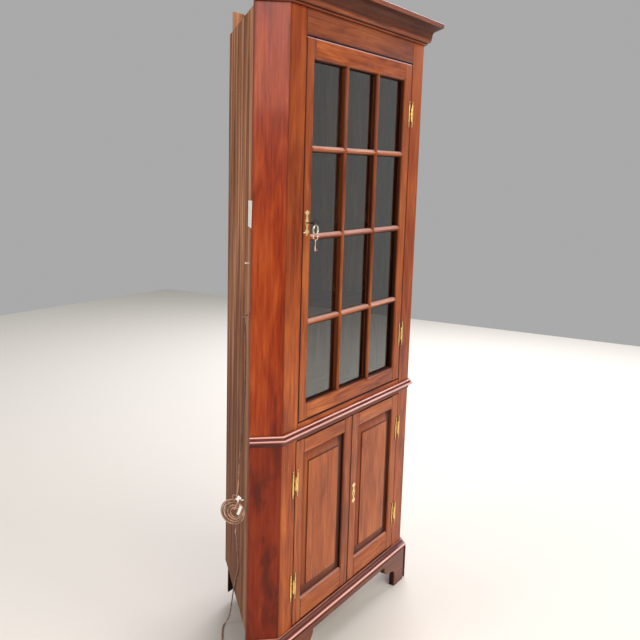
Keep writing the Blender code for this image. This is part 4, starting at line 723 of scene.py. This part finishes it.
def finish_piece(name, mesh, body, material, replaces, ease):
    """An object for a mesh, shaded smooth up to the sharp angle, with its finish, body and eased edges."""
    mesh.shade_smooth()
    mesh.set_sharp_from_angle(angle=SHARP_ANGLE)
    mesh.materials.clear()
    mesh.materials.append(material)
    piece = bpy.data.objects.new(name, mesh)
    bpy.context.scene.collection.objects.link(piece)
    if ease:
        bevel = piece.modifiers.new("eased_edges", "BEVEL")
        bevel.width = ease
        bevel.segments = 2
        bevel.angle_limit = SHARP_ANGLE
        bevel.harden_normals = True
    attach(piece, body)
    if replaces:
        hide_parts(*replaces)
    return piece


def along_grain(points, grain):
    """Metres along the grain, across it and into the wood from its face, for boards of each heading."""
    x, y, z = points.T
    along, out = (x + y) * ROOT_HALF, (y - x) * ROOT_HALF
    orders = {"up": (z, x, y), "across": (x, z, y), "back": (z, x, -y),
              "left_cant": (z, out, along), "right_cant": (z, along, out),
              "left_wall": (z, along, -out), "right_wall": (z, out, -along)}
    return np.column_stack(orders[grain])


def add_runs(mesh, boards):
    """The run, near, far and seam attributes of each face's corners. A face belongs to the board whose
    area, in x and z, holds its middle. Run is measured from the board's middle, then moved by its start. A
    board's fourth item says which of its low side, high side and ends take a painted shadow line, as beside a
    gap, and which high side takes a painted highlight."""
    points, corner = np.empty(len(mesh.vertices) * 3), np.empty(len(mesh.loops), int)
    middle, size = np.empty(len(mesh.polygons) * 3), np.empty(len(mesh.polygons), int)
    mesh.vertices.foreach_get("co", points)
    mesh.loops.foreach_get("vertex_index", corner)
    mesh.polygons.foreach_get("center", middle)
    mesh.polygons.foreach_get("loop_total", size)
    points, (x, _, z) = points.reshape(-1, 3)[corner], middle.reshape(-1, 3).T
    run, near, far, seam = np.zeros((4, len(corner), 3))
    for grain, start, (low_x, high_x, low_z, high_z), *sides in boards:
        picked = np.repeat((x > low_x) & (x < high_x) & (z > low_z) & (z < high_z), size)
        turned_points = along_grain(points[picked], grain)
        low, high = turned_points.min(axis=0), turned_points.max(axis=0)
        run[picked] = turned_points - (low + high) / 2 + start
        near[picked], far[picked] = turned_points - low, high - turned_points
        seam[picked] = sides[0] if sides else 0
    for key, rows in (("run", run), ("near", near), ("far", far), ("seam", seam)):
        mesh.attributes.new(key, "FLOAT_VECTOR", "CORNER").data.foreach_set("vector", rows.ravel())


def dress(node, body, material, boards=(("up", (0, 0, 0), ANYWHERE),), cuts=(), ease=EASE, round_top=0):
    """A CAD node's solid in a new piece: its triangles are welded and merged into flat faces, cut where its
    boards meet, and its edges eased, the front top one by round_top, where a pale highlight is painted."""
    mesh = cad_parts[node].data.copy()
    mesh.name = node + "_dressed"
    bm = bmesh.new()
    bm.from_mesh(mesh)
    bmesh.ops.remove_doubles(bm, verts=bm.verts, dist=WELD)
    bmesh.ops.dissolve_limit(bm, angle_limit=FLAT_ANGLE, verts=bm.verts, edges=bm.edges)
    for x in cuts:
        everything = bm.verts[:] + bm.edges[:] + bm.faces[:]
        bmesh.ops.bisect_plane(bm, geom=everything, dist=WELD, plane_co=(x, 0, 0), plane_no=(1, 0, 0))
    if round_top:
        top = max(vert.co.z for vert in bm.verts)
        front = min(vert.co.y for vert in bm.verts)
        edges = [edge for edge in bm.edges
                 if all(vert.co.z > top - WELD and vert.co.y < front + WELD for vert in edge.verts)]
        bmesh.ops.bevel(bm, geom=edges, offset=round_top, segments=4, profile=0.5, affect="EDGES")
    bm.to_mesh(mesh)
    bm.free()
    add_runs(mesh, boards)
    # The worn attribute is a painted highlight along the rounded front top edge
    if round_top:
        points = np.empty(len(mesh.vertices) * 3)
        mesh.vertices.foreach_get("co", points)
        height, depth = points.reshape(-1, 3)[:, 2], points.reshape(-1, 3)[:, 1]
        worn = np.clip(1 - (height.max() - height) / round_top, 0, 1) * (depth < depth.min() + round_top)
        mesh.attributes.new("worn", "FLOAT", "POINT").data.foreach_set("value", worn * TOP_HIGHLIGHT_SHARE)
    return finish_piece(node + "_dressed", mesh, body, material, [node], ease)


# Mouldings


def cove(low, high, steps):
    """A hollow quarter that rises from low and sweeps out to high."""
    angle = np.linspace(0, np.pi / 2, steps + 1)
    return np.column_stack([low[0] + (high[0] - low[0]) * (1 - np.cos(angle)),
                            low[1] + (high[1] - low[1]) * np.sin(angle)])


def hollow_depth(profile, lowest):
    """How far each point of a profile lies inside its hull: the least distance to a line that touches the
    profile from outside, over the directions from the lowest, in degrees, to straight up."""
    angle = np.radians(np.linspace(lowest, 90, HOLLOW_DIRECTIONS))
    reach = profile @ np.array([np.cos(angle), np.sin(angle)])
    return (reach.max(axis=0) - reach).min(axis=1)


def moulding(profile, low, lowest):
    """A profile of (projection, height) carried along one cant, across the front and along the other cant.
    Each ring stands at an end or a corner, where its projection runs along the mitre of the two faces. The
    run's third value is the hollow's depth, which sets a painted shade in the hollows, and it is greatest at
    the hidden back. It is more by a step where the profile doesn't tilt up to the light, which keeps the
    painted highlight on the crest off there. The run's other values start at places that differ with the
    height, so no two mouldings have one figure."""
    profile = np.asarray(profile, float)
    corner = np.array([-FACE_HALF_WIDTH, FRONT_Y, low])
    mitre = (CANT_NORMAL + [0, -1, 0]) / (1 + ROOT_HALF)
    flip = np.array([-1, 1, 1])
    end = corner + CANT_RUN * CANT_WIDTH
    origins = np.array([end, corner, corner * flip, end * flip])
    axes = np.array([CANT_NORMAL, mitre, mitre * flip, CANT_NORMAL * flip])
    heights = np.array([0, 0, 1]) * profile[None, :, 1:]
    rings = origins[:, None] + axes[:, None] * (profile[None, :, :1] + SEAT) + heights
    walked = np.concatenate([[0], np.cumsum(np.linalg.norm(np.diff(origins, axis=0), axis=1))])
    around = np.concatenate([[0], np.cumsum(np.linalg.norm(np.diff(profile, axis=0), axis=1))])
    # Painted shade in the hollows grows with their depth
    hollow = np.minimum(HOLLOW_SHADE * hollow_depth(profile, lowest), HOLLOW_MOST)
    slope = np.gradient(profile, axis=0)
    tilt = np.degrees(np.arctan2(-slope[:, 0], slope[:, 1]))
    # A step more where the profile doesn't tilt up to the light keeps the painted highlight off there
    hollow += np.where((tilt > HIGHLIGHT_TILT[0]) & (tilt < HIGHLIGHT_TILT[1]), 0, HIGHLIGHT_MISS)
    hollow[profile[:, 0] == 0] = 2 * HOLLOW_MOST
    along, across = walked[:, None] + low, around[None, :] + low * 3
    return tube(rings, np.stack(np.broadcast_arrays(along, across, hollow[None, :]), axis=-1))


def cornice_profile():
    """From below: a small bead, a fillet, an ovolo, a fillet, a large cove and a square fascia."""
    return np.vstack([[(0, 0), (0.0070, 0)], arc((0.0074, 0.0028), (0.0030, 0.0028), -90, 90),
                      [(0.0070, 0.0062), (0.0118, 0.0064)], arc((0.0122, 0.0200), (0.0110, 0.0134), -90, 0),
                      [(0.0232, 0.0236), (0.0250, 0.0240)],
                      cove((0.0250, 0.0282), (0.0549, 0.0557), COVE_STEPS),
                      [(0.0556, 0.0564), (0.0602, 0.0564), (0.0610, 0.0572), (0.0610, 0.0697),
                       (0.0602, 0.0705), (0, 0.0705)]])


def waist_profile():
    """From below: a cove, a half-round nose, a quirk and a smaller bead."""
    return np.vstack([[(0, 0), (0.0020, 0)], cove((0.0022, 0.0010), (0.0112, 0.0142), ARC_STEPS),
                      arc((0.0102, 0.0190), (0.0064, 0.0049), -90, 90), [(0.0086, 0.0241), (0.0080, 0.0254)],
                      arc((0.0042, 0.0297), (0.0060, 0.0043), -75, 90), [(0, 0.0340)]])


def base_profile():
    """From below: a round nose, a fillet and a hollow that runs in to the case."""
    angle = np.linspace(0, np.pi / 2, ARC_STEPS + 1)
    hollow = np.column_stack([0.0116 - 0.0086 * np.sin(angle), 0.0226 - 0.0104 * np.cos(angle)])
    return np.vstack([[(0, 0), (0.0185, 0)], arc((0.0148, 0.0056), (0.0072, 0.0056), -62, 90),
                      [(0.0122, 0.0114), (0.0118, 0.0120)], hollow, [(0.0026, 0.0245), (0, 0.0245)]])


def add_mouldings(dark, bright):
    """The cornice, the waist and the base moulding, each from the height where its CAD node starts."""
    # The cornice takes the cherry painted as in shade, the waist and base mouldings the cherry painted as lit
    for name, profile, lowest, material in (("cornice", cornice_profile(), -90, dark),
                                            ("waist_moulding", waist_profile(), -20, bright),
                                            ("base_moulding", base_profile(), -20, bright)):
        shape = moulding(profile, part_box(name)[0].z, lowest)
        add_piece(name + "_profile", shape, "case", material, [name])


# Brass


def half_round(profile, place, flatten):
    """A flat-backed turned bar: each (radius, height) of the profile sweeps half an ellipse off the face."""
    profile = np.asarray(profile, float)
    angle = np.linspace(0, np.pi, BAR_STEPS + 1)
    rings = np.stack([profile[:, :1] * np.cos(angle), -flatten * profile[:, :1] * np.sin(angle),
                      np.repeat(profile[:, 1:], BAR_STEPS + 1, axis=1)], axis=-1)
    return tube(rings + np.asarray(place))


def placed(shape, place, turn=np.eye(3)):
    """A shape turned by a matrix and moved to a place."""
    points, faces, _ = shape
    moved = points @ np.asarray(turn).T + np.asarray(place)
    return moved, faces, moved


def ring_round(radius, wire):
    """A torus in the XZ plane: a circle of the wire carried round a circle of the ring."""
    turn = np.linspace(0, 2 * np.pi, RING_STEPS, endpoint=False)[:, None]
    around = np.linspace(0, 2 * np.pi, WIRE_STEPS, endpoint=False)[None, :]
    reach = radius + wire * np.cos(around)
    places = np.broadcast_arrays(reach * np.cos(turn), wire * np.sin(around), reach * np.sin(turn))
    points = np.stack(places, axis=-1).reshape(-1, 3)
    here = np.arange(RING_STEPS * WIRE_STEPS).reshape(RING_STEPS, WIRE_STEPS)
    there, beside = np.roll(here, -1, axis=0), np.roll(here, -1, axis=1)
    faces = np.stack([here, beside, np.roll(there, -1, axis=1), there], axis=-1).reshape(-1, 4).tolist()
    return points, faces, points


def slab(outline, low_y, high_y):
    """A flat plate with the given outline of (x, z), between two depths."""
    outline = np.asarray(outline, float)
    rings = np.stack([np.column_stack([outline[:, 0], np.full(len(outline), y), outline[:, 1]])
                      for y in (low_y, high_y)])
    return tube(rings)


def sweep(path, wide, thick, across):
    """An ellipse carried along a path: wide along across, and thick square to it and to the path."""
    path = np.asarray(path, float)
    heading = np.gradient(path, axis=0)
    heading /= np.linalg.norm(heading, axis=1, keepdims=True)
    side = np.asarray(across, float) - (heading @ np.asarray(across, float))[:, None] * heading
    side /= np.linalg.norm(side, axis=1, keepdims=True)
    up = np.cross(heading, side)
    angle = np.linspace(0, 2 * np.pi, SWEEP_STEPS, endpoint=False)[None, :, None]
    return tube(path[:, None] + wide * np.cos(angle) * side[:, None] + thick * np.sin(angle) * up[:, None])


def screw_head(x, z, front_y, angle):
    """Two half discs, domed, with the slot's gap between them, turned to an angle on the face."""
    half = np.linspace(SCREW_SLOT, np.pi - SCREW_SLOT, SCREW_STEPS + 1)
    halves = []
    for turn in (angle, angle + np.pi):
        rim = SCREW_RADIUS * np.column_stack([np.cos(half + turn), np.zeros(len(half)), np.sin(half + turn)])
        halves.append(tube(np.stack([rim * share + (x, front_y - out, z) for share, out in SCREW_DOME])))
    return halves


def hinge_bar(x, z):
    """A flattened bar with a collar, a neck and a ball at each end."""
    ball = [(0.0042 * np.cos(a), 0.0415 + 0.0045 * np.sin(a)) for a in np.linspace(1.5, -0.95, ARC_STEPS + 1)]
    top = ball + [(0.0022, 0.0372), (0.0021, 0.0366), (0.0042, 0.0360), (0.0046, 0.0352), (0.0042, 0.0344),
                  (0.0036, 0.0338), (0.0044, 0.0325), (BAR_RADIUS, 0.0240), (BAR_RADIUS, 0)]
    profile = top + [(radius, -height) for radius, height in top[-2::-1]]
    return half_round(profile, (x, FRONT_Y - SEAT, z), BAR_FLATTEN)


def knuckle(x, z, low, high):
    """A turned barrel with a rolled edge at each end."""
    end = [(KNUCKLE_RADIUS * KNUCKLE_BORE, 0), (KNUCKLE_RADIUS - KNUCKLE_LIP / 2, 0),
           (KNUCKLE_RADIUS, KNUCKLE_LIP)]
    profile = [(radius, low + inset) for radius, inset in end]
    profile += [(radius, high - inset) for radius, inset in reversed(end)]
    return placed(turned(profile, KNUCKLE_STEPS), (x, HINGE_AXIS_Y, z))


def hinge_leaf(x, z, out, spans):
    """One leaf: its bar, a plate and a knuckle for each span of heights, and its screws."""
    start_x, bar_x = x + out * LEAF_START, x + out * BAR_OFFSET
    shapes = [hinge_bar(bar_x, z)]
    for low, high in spans:
        shapes.append(knuckle(x, z, low, high))
        outline = [(start_x, z + low), (bar_x, z + low), (bar_x, z + high), (start_x, z + high)]
        shapes.append(slab(outline, FRONT_Y - SEAT - LEAF_THICKNESS, FRONT_Y - SEAT))
    crest = FRONT_Y - SEAT - BAR_RADIUS * BAR_FLATTEN
    for number, height in enumerate(SCREW_HEIGHTS):
        angle = FIRST_SLOT_ANGLE + NEXT_SLOT_ANGLE * number + x
        shapes += screw_head(bar_x, z + height, crest + SCREW_STAND, angle)
    return joined(*shapes)


def add_hinges(material):
    """Each hinge's fixed leaf, with two knuckles and the pin, and its moving leaf, with one knuckle."""
    seam = KNUCKLE_SEAM + SEAT / 2
    tips = [(radius, -height) for radius, height in reversed(PIN_TIP)] + PIN_TIP
    for door, x, heights in HINGES:
        side = np.sign(x)
        for end, z in zip(("top", "bottom"), heights):
            name = f"{door}_{end}"
            fixed = hinge_leaf(x, z, side, [(seam, KNUCKLE_HALF), (-KNUCKLE_HALF, -seam)])
            pin = placed(turned(tips, PIN_STEPS), (x, HINGE_AXIS_Y, z))
            add_piece(name + "_fixed_leaf", joined(fixed, pin), "case", material,
                      [name + "_hinge_frame_leaf"])
            moving = hinge_leaf(x, z, -side, [(-KNUCKLE_SEAM, KNUCKLE_SEAM)])
            add_piece(name + "_moving_leaf", moving, door + "_door", material,
                      [name + "_hinge_door_leaf"])


# Keys


def key_shape(length, wire):
    """A key along +Y with its bow's middle at the origin: a ring bow, a collar, a shank and a notched bit."""
    bow = placed(ring_round(KEY_BOW_RADIUS, wire), (0, 0, 0), TO_SIDE)
    profile = [(0.0006, KEY_BOW_RADIUS), (0.0024, 0.0082), (0.0030, 0.0092), (0.0030, 0.0102),
               (0.0020, 0.0110), (0.0019, length - 0.0010), (0.0014, length), (0.0002, length)]
    shank = placed(turned(profile, SHANK_STEPS), (0, 0, 0), LAID_BACK)
    low, notch, high = -0.0085, -0.0062, -0.0002
    heights = (high, low, low, notch, notch, low, low, high)
    places = np.repeat((0.0070, 0.0048, 0.0036, 0.0014), 2)
    teeth = np.column_stack([length - places, heights])
    return joined(bow, shank, placed(slab(teeth, -BIT_HALF, BIT_HALF), (0, 0, 0), TO_SIDE))


def add_keys(dark, bright):
    """The key in its lock, the split ring with the spare key below its bow, and the round-headed pin beside
    the escutcheon's foot, a quarter circle turned round."""
    x, y, _ = KEY_BOW
    angle = np.linspace(0, np.pi / 2, 7)
    dome = np.column_stack([PIN_RADIUS * np.cos(angle), PIN_RADIUS * np.sin(angle)])
    dome[-1, 0] = PIN_RADIUS / 20
    head = placed(turned(dome, PIN_STEPS), (PIN_PLACE[0], FRONT_Y - SEAT, PIN_PLACE[1]), -LAID_BACK)
    add_piece("door_pin", head, "upper_door", bright)
    key = placed(key_shape(KEY_LENGTH, KEY_WIRE), KEY_BOW)
    add_piece("lock_key", key, "upper_key", dark, ["upper_key"])
    wires = ring_round(KEY_RING_RADIUS, KEY_RING_WIRE)
    rings = [placed(wires, (x, y + side * KEY_RING_GAP, KEY_RING_Z)) for side in (-1, 1)]
    spare = placed(key_shape(SPARE_KEY_LENGTH, SPARE_KEY_WIRE), (x, y, SPARE_BOW_Z), LAID_BACK)
    add_piece("spare_key_ring", joined(*rings, spare), "key_ring", bright, ["spare_key_on_ring"])


# Fittings of the wall board and the cord


def wall_sweep(route, wide, thick, across, spacing=0.0015):
    """A swept ellipse whose route and across direction are given in the left wall board's frame."""
    return sweep(smooth_path(from_wall(route), spacing), wide, thick, np.asarray(across, float) @ WALL_AXES)


def add_wall_fittings(white, pink):
    """The label, a thin sheet whose front foot curls out, the collar round the cord's hole with its clip, and
    the bent nail."""
    front, rear, foot, top = LABEL
    corners = np.array([(front, LABEL_CURL, foot - LABEL_SKEW), (rear, 0, foot), (rear, 0, top),
                        (front, 0, top + LABEL_SKEW / 2)])
    rings = np.stack([from_wall(corners + [0, out, 0]) for out in (SEAT, SEAT + LABEL_THICKNESS)])
    add_piece("paper_label", tube(rings), "case", white)
    ring_place = from_wall(np.add(CORD_EXIT, (0, COLLAR_OUT, 0)))
    ring = placed(ring_round(COLLAR_RADIUS, COLLAR_WIRE), ring_place, WALL_AXES.T)
    clip = wall_sweep(np.add(CORD_EXIT, CLIP_ROUTE), *CLIP_HALVES, (0, 0, 1))
    add_piece("cord_collar", joined(ring, clip), "case", pink)
    add_piece("bent_nail", wall_sweep(NAIL_ROUTE, *NAIL_HALVES, (1, 0, 0)), "case", white)


def add_tie(white, pink):
    """The flat tie round the coil, its twisted ends, and the tag that hangs in front of the turns."""
    shapes = [wall_sweep(from_coil(np.add(TIE_KNOT, route)), *halves, (0, 0.4, 1), TIE_SPACING)
              for routes, halves in ((TIE_BOWS, BOW_HALVES), (TIE_TAILS, TAIL_HALVES)) for route in routes]
    add_piece("tie_ends", joined(*shapes), "case", white)
    tag = wall_sweep(from_coil(TAG_ROUTE), *TAG_HALVES, COIL_AXES[0] + 0.4 * COIL_AXES[1], TAG_SPACING)
    add_piece("tie_tag", tag, "case", white)
    wire = wall_sweep(from_coil(np.add(TIE_KNOT, TIE_WIRE)), *WIRE_HALVES, (1, 0, 0))
    add_piece("tie_wire", wire, "case", pink)


# Floor and light


def add_floor():
    """A pale square under the object, which isn't part of it."""
    finish = Finish("pale_floor")
    finish.set(Base_Color=paint(226, 221, 212), Roughness=0.75)
    mesh = bpy.data.meshes.new("floor")
    corners = [(x * FLOOR_HALF, y * FLOOR_HALF, 0) for x, y in ((-1, -1), (1, -1), (1, 1), (-1, 1))]
    mesh.from_pydata(corners, [], [(0, 1, 2, 3)])
    mesh.materials.append(finish.material)
    floor = bpy.data.objects.new("floor", mesh)
    bpy.context.scene.collection.objects.link(floor)


def set_world():
    """An even white light from all round."""
    world = bpy.data.worlds.new("studio")
    bpy.context.scene.world = world
    world.use_nodes = True
    light = world.node_tree.nodes["Background"].inputs
    light["Color"].default_value = (1, 1, 1, 1)
    light["Strength"].default_value = WORLD_STRENGTH


def add_lamp(name, place, aim, size, power, colour):
    """A soft square lamp that faces its aim: its right axis is level, and its third axis looks back."""
    lamp = bpy.data.lights.new(name, "AREA")
    lamp.size = size
    lamp.energy = power
    lamp.color = colour
    forward = np.subtract(aim, place)
    forward = forward / np.linalg.norm(forward)
    right = np.cross(forward, (0, 0, 1))
    right = right / np.linalg.norm(right)
    matrix = np.eye(4)
    matrix[:3, :3] = np.column_stack([right, np.cross(right, forward), -forward])
    matrix[:3, 3] = place
    holder = bpy.data.objects.new(name, lamp)
    holder.matrix_world = matrix.T
    bpy.context.scene.collection.objects.link(holder)


# The scene

door_tones = tones((112, 44, 14), (168, 83, 32), (198, 112, 50))
board_tones = tones((84, 44, 28), (164, 106, 72), (220, 162, 120))
# The front's browner tones and the cant's redder ones are partly stain and partly a painted difference of
# light and sheen; the face frame takes a painted shade towards its top
cherry_front = polished_wood("cherry_front", tones((114, 42, 12), (168, 79, 27), (198, 107, 41)), coat=0.05,
                             specular=0.14, top_height=1.0, top_shade=0.4)
# A darker copy of the cherry for the cornice and the top rail, painted as in shade, with a dark painted shade
# on the sides and in hollows
cherry_in_shade = polished_wood("cherry_in_shade", tones((84, 32, 12), (132, 62, 27), (162, 86, 40)),
                            side=paint(50, 22, 14))
# A darker copy of the cherry for the base, painted as in shade
cherry_base_in_shade = polished_wood("cherry_base_in_shade", tones((66, 24, 10), (112, 50, 24), (140, 70, 38)))
# The cant takes a painted shade below its foot height, with blotches of stain in it
cherry_cant = polished_wood("cherry_cant", tones((108, 22, 4), (158, 56, 12), (184, 82, 28)),
                            side=paint(116, 56, 34), foot_height=0.67, foot_shade=0.6, knot=(0.37, 0.052))
# A lighter copy of the cherry for the waist and base mouldings, painted as lit, with painted highlights on
# the crests and painted shade in the hollows
cherry_moulding_lit = polished_wood("cherry_moulding_lit", tones((136, 58, 34), (186, 102, 70), (214, 140, 108)),
                                coat=0.3, side=paint(70, 28, 26), crest=0.9)
# The doors take a painted shade towards their tops
cherry_door = polished_wood("cherry_door", door_tones, coat=0.07, specular=0.16,
                            top_height=0.35, top_shade=0.3)
# The panel takes a painted shade line round its field and a painted shade on its bevel's high side and foot
cherry_panel = polished_wood("cherry_panel", door_tones, coat=0.07, specular=0.16,
                             side=paint(104, 40, 30), bevel=0.85)
# Bare boards take a painted shade towards the foot; the rear board also a painted shade under the case's
# floor
raw_board = bare_wood("weathered_board", board_tones, foot_height=0.64, foot_shade=0.52)
rear_board = bare_wood("rear_board", board_tones, foot_height=0.64, foot_shade=0.52, shaded_below=0.138)
# The rear foot's near-black wood is a painted shade, where it stands in the shade under the case
rear_foot_in_shade = bare_wood("rear_foot_shaded_wood", tones((24, 11, 9), (38, 20, 16), (52, 30, 24)))
shelf_wood = bare_wood("inner_board", tones((96, 48, 30), (142, 84, 54), (170, 110, 74)), 0.6)
brass = metal_finish("polished_brass", paint(255, 218, 142), paint(240, 184, 104), 0.28, base_shade=0.95)
escutcheon_brass = metal_finish("cast_brass", paint(255, 232, 170), paint(250, 206, 130), 0.42, base_shade=0.9,
                                axis="Z", depth=ESCUTCHEON_DEPTH)
dark_metal = metal_finish("dark_bronze", paint(92, 64, 44), paint(48, 30, 20), 0.3)
nickel = metal_finish("worn_nickel", paint(250, 244, 232), paint(214, 200, 182), 0.24)
glass = glass_finish()
# The cord's edge colour is a painted shade on its sides
cord_brown = plastic_finish("cord_brown", paint(204, 156, 128), paint(132, 92, 72), 0.32,
                            edge=paint(30, 14, 10), darker_from=0.66)
white_plastic = plastic_finish("white_plastic", paint(250, 248, 242), paint(236, 232, 224), 0.45)
pink_plastic = plastic_finish("pink_plastic", paint(190, 136, 116), paint(160, 108, 92), 0.45)

place_camera()
add_cord(cord_brown)
add_mouldings(cherry_in_shade, cherry_moulding_lit)
add_hinges(brass)
add_keys(dark_metal, nickel)
add_wall_fittings(white_plastic, pink_plastic)
add_tie(white_plastic, pink_plastic)

# The case. Start is where a board's figure starts, so that no two boards have one figure.
for node, grain, start, material, seam in (
        ("frame_stile_left", "up", (0.2, 0.02, 0.16), cherry_front, HIGH_GAP_SHADE),
        ("frame_stile_right", "up", (1.3, -0.02, 0.18), cherry_front, LOW_GAP_SHADE),
        ("frame_rail_top", "across", (2.2, 0.03, 0.12), cherry_in_shade, LOW_GAP_SHADE),
        ("frame_rail_waist", "across", (3.1, 0.02, 0.2), cherry_front, BOTH_GAP_SHADES),
        ("frame_rail_bottom", "across", (4.2, 0.01, 0.14), cherry_front, HIGH_GAP_SHADE),
        ("base_apron", "across", (5.3, 0.02, 0.1), cherry_base_in_shade, NO_GAP_SHADE),
        ("base_foot_left", "left_cant", (6.1, 0.03, 0.08), cherry_base_in_shade, NO_GAP_SHADE),
        ("base_foot_right", "right_cant", (7.1, 0.04, 0.09), cherry_base_in_shade, NO_GAP_SHADE),
        ("rear_foot", "across", (1, 0, 0.1), rear_foot_in_shade, NO_GAP_SHADE),
        ("cant_left", "left_cant", (-0.64, 0.004, 0.034), cherry_cant, NO_GAP_SHADE),
        ("cant_right", "right_cant", (0.52, -0.006, 0.03), cherry_cant, NO_GAP_SHADE)):
    dress(node, "case", material, [(grain, start, ANYWHERE, seam)])
for node, grain, material in (
        ("side_board_left", "left_wall", raw_board),
        ("side_board_right", "right_wall", raw_board),
        ("back_board", "back", rear_board)):
    dress(node, "case", material, [(grain, (0.3 * len(node), 0.1, 0), ANYWHERE)])
for number, node in enumerate(("top_board", "waist_board", "bottom_board", "lower_shelf", "upper_shelf_1",
                               "upper_shelf_2", "upper_shelf_3")):
    dress(node, "case", shelf_wood, [("across", (number * 1.7, 0, 0.1), ANYWHERE)])
batten = [(-SILL_HALF, SILL_LOW), (SILL_HALF, SILL_LOW), (SILL_HALF, SILL_HIGH), (-SILL_HALF, SILL_HIGH)]
add_piece("sill_batten", slab(batten, *SILL_DEPTH), "case", shelf_wood)

# The upper door
for node, grain, start, seam, round_top in (
        ("stile_left", "up", (8.2, 0.01, 0.2), LOW_GAP_SHADE, ROUND_TOP),
        ("stile_right", "up", (9.3, 0.01, 0.15), HIGH_GAP_SHADE, ROUND_TOP),
        ("rail_top", "across", (2.7, 0.02, 0.1), NO_GAP_SHADE, ROUND_TOP),
        ("rail_bottom", "across", (3.6, 0.01, 0.12), LOW_GAP_SHADE, 0)):
    dress("upper_door_" + node, "upper_door", cherry_door,
          [(grain, start, ANYWHERE, seam)], round_top=round_top)
dress("glazing_bead", "upper_door", cherry_door)
bars = [("up", (4.6 + x, 0, 0.1), (x - BAR_HALF, x + BAR_HALF, LEAST, MOST)) for x in UPRIGHT_BARS]
edges_x = [LEAST, *(x + side * BAR_HALF for x in UPRIGHT_BARS for side in (-1, 1)), MOST]
# The cross bars take a painted highlight along their high side
bars += [("across", (z, 0, 0.1), (left, right, z - 2 * BAR_HALF, z + 2 * BAR_HALF), HIGH_HIGHLIGHT)
         for z in CROSS_BARS for left, right in zip(edges_x[::2], edges_x[1::2])]
dress("glazing_bars", "upper_door", cherry_door, bars, edges_x[1:-1], FINE_EASE)

# The lower doors
low_x, high_x, low_z, high_z = np.add(PANEL_AREA, (0, 0, RAIL_OVERLAP, -RAIL_OVERLAP))
for name, side in (("lower_left_door", -1), ("lower_right_door", 1)):
    near_x, far_x = sorted((side * low_x, side * high_x))
    boards = [("up", (5.1 + side, 0.02, 0.16), (LEAST, near_x, LEAST, MOST), BOTH_GAP_SHADES),
              ("up", (2.1 + side, -0.01, 0.2), (far_x, MOST, LEAST, MOST), BOTH_GAP_SHADES),
              ("across", (3.3 + side, 0.01, 0.1), (near_x, far_x, high_z, MOST), BOTH_GAP_SHADES),
              ("across", (7.3 + side, 0.02, 0.12), (near_x, far_x, LEAST, low_z), LOW_GAP_SHADE_HIGH_HIGHLIGHT),
              ("up", (0, 0, 0.1), (near_x, far_x, low_z, high_z))]
    dress(name + "_frame", name, cherry_door, boards, (near_x, far_x))
    field = [("up", (-0.2 * side, 0.02, 0.03), ANYWHERE)]
    dress(name + "_panel", name, cherry_panel, field)

# The escutcheons
for node, body in (("upper_escutcheon", "upper_door"), ("lower_escutcheon", "lower_right_door")):
    dress(node, body, escutcheon_brass, ease=FINE_EASE)

# CAD nodes that stay as they are: brass, apart from those named here
own_finish = {"glass_sheet": glass, "light_fitting": white_plastic, "coil_tie": pink_plastic,
              "cord_plug": cord_brown}
for node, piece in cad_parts.items():
    if not piece.hide_render:
        piece.data.materials.clear()
        piece.data.materials.append(own_finish.get(node, brass))

add_floor()
set_world()
for lamp in LAMPS:
    add_lamp(*lamp)
bpy.context.scene.view_settings.view_transform = "Standard"
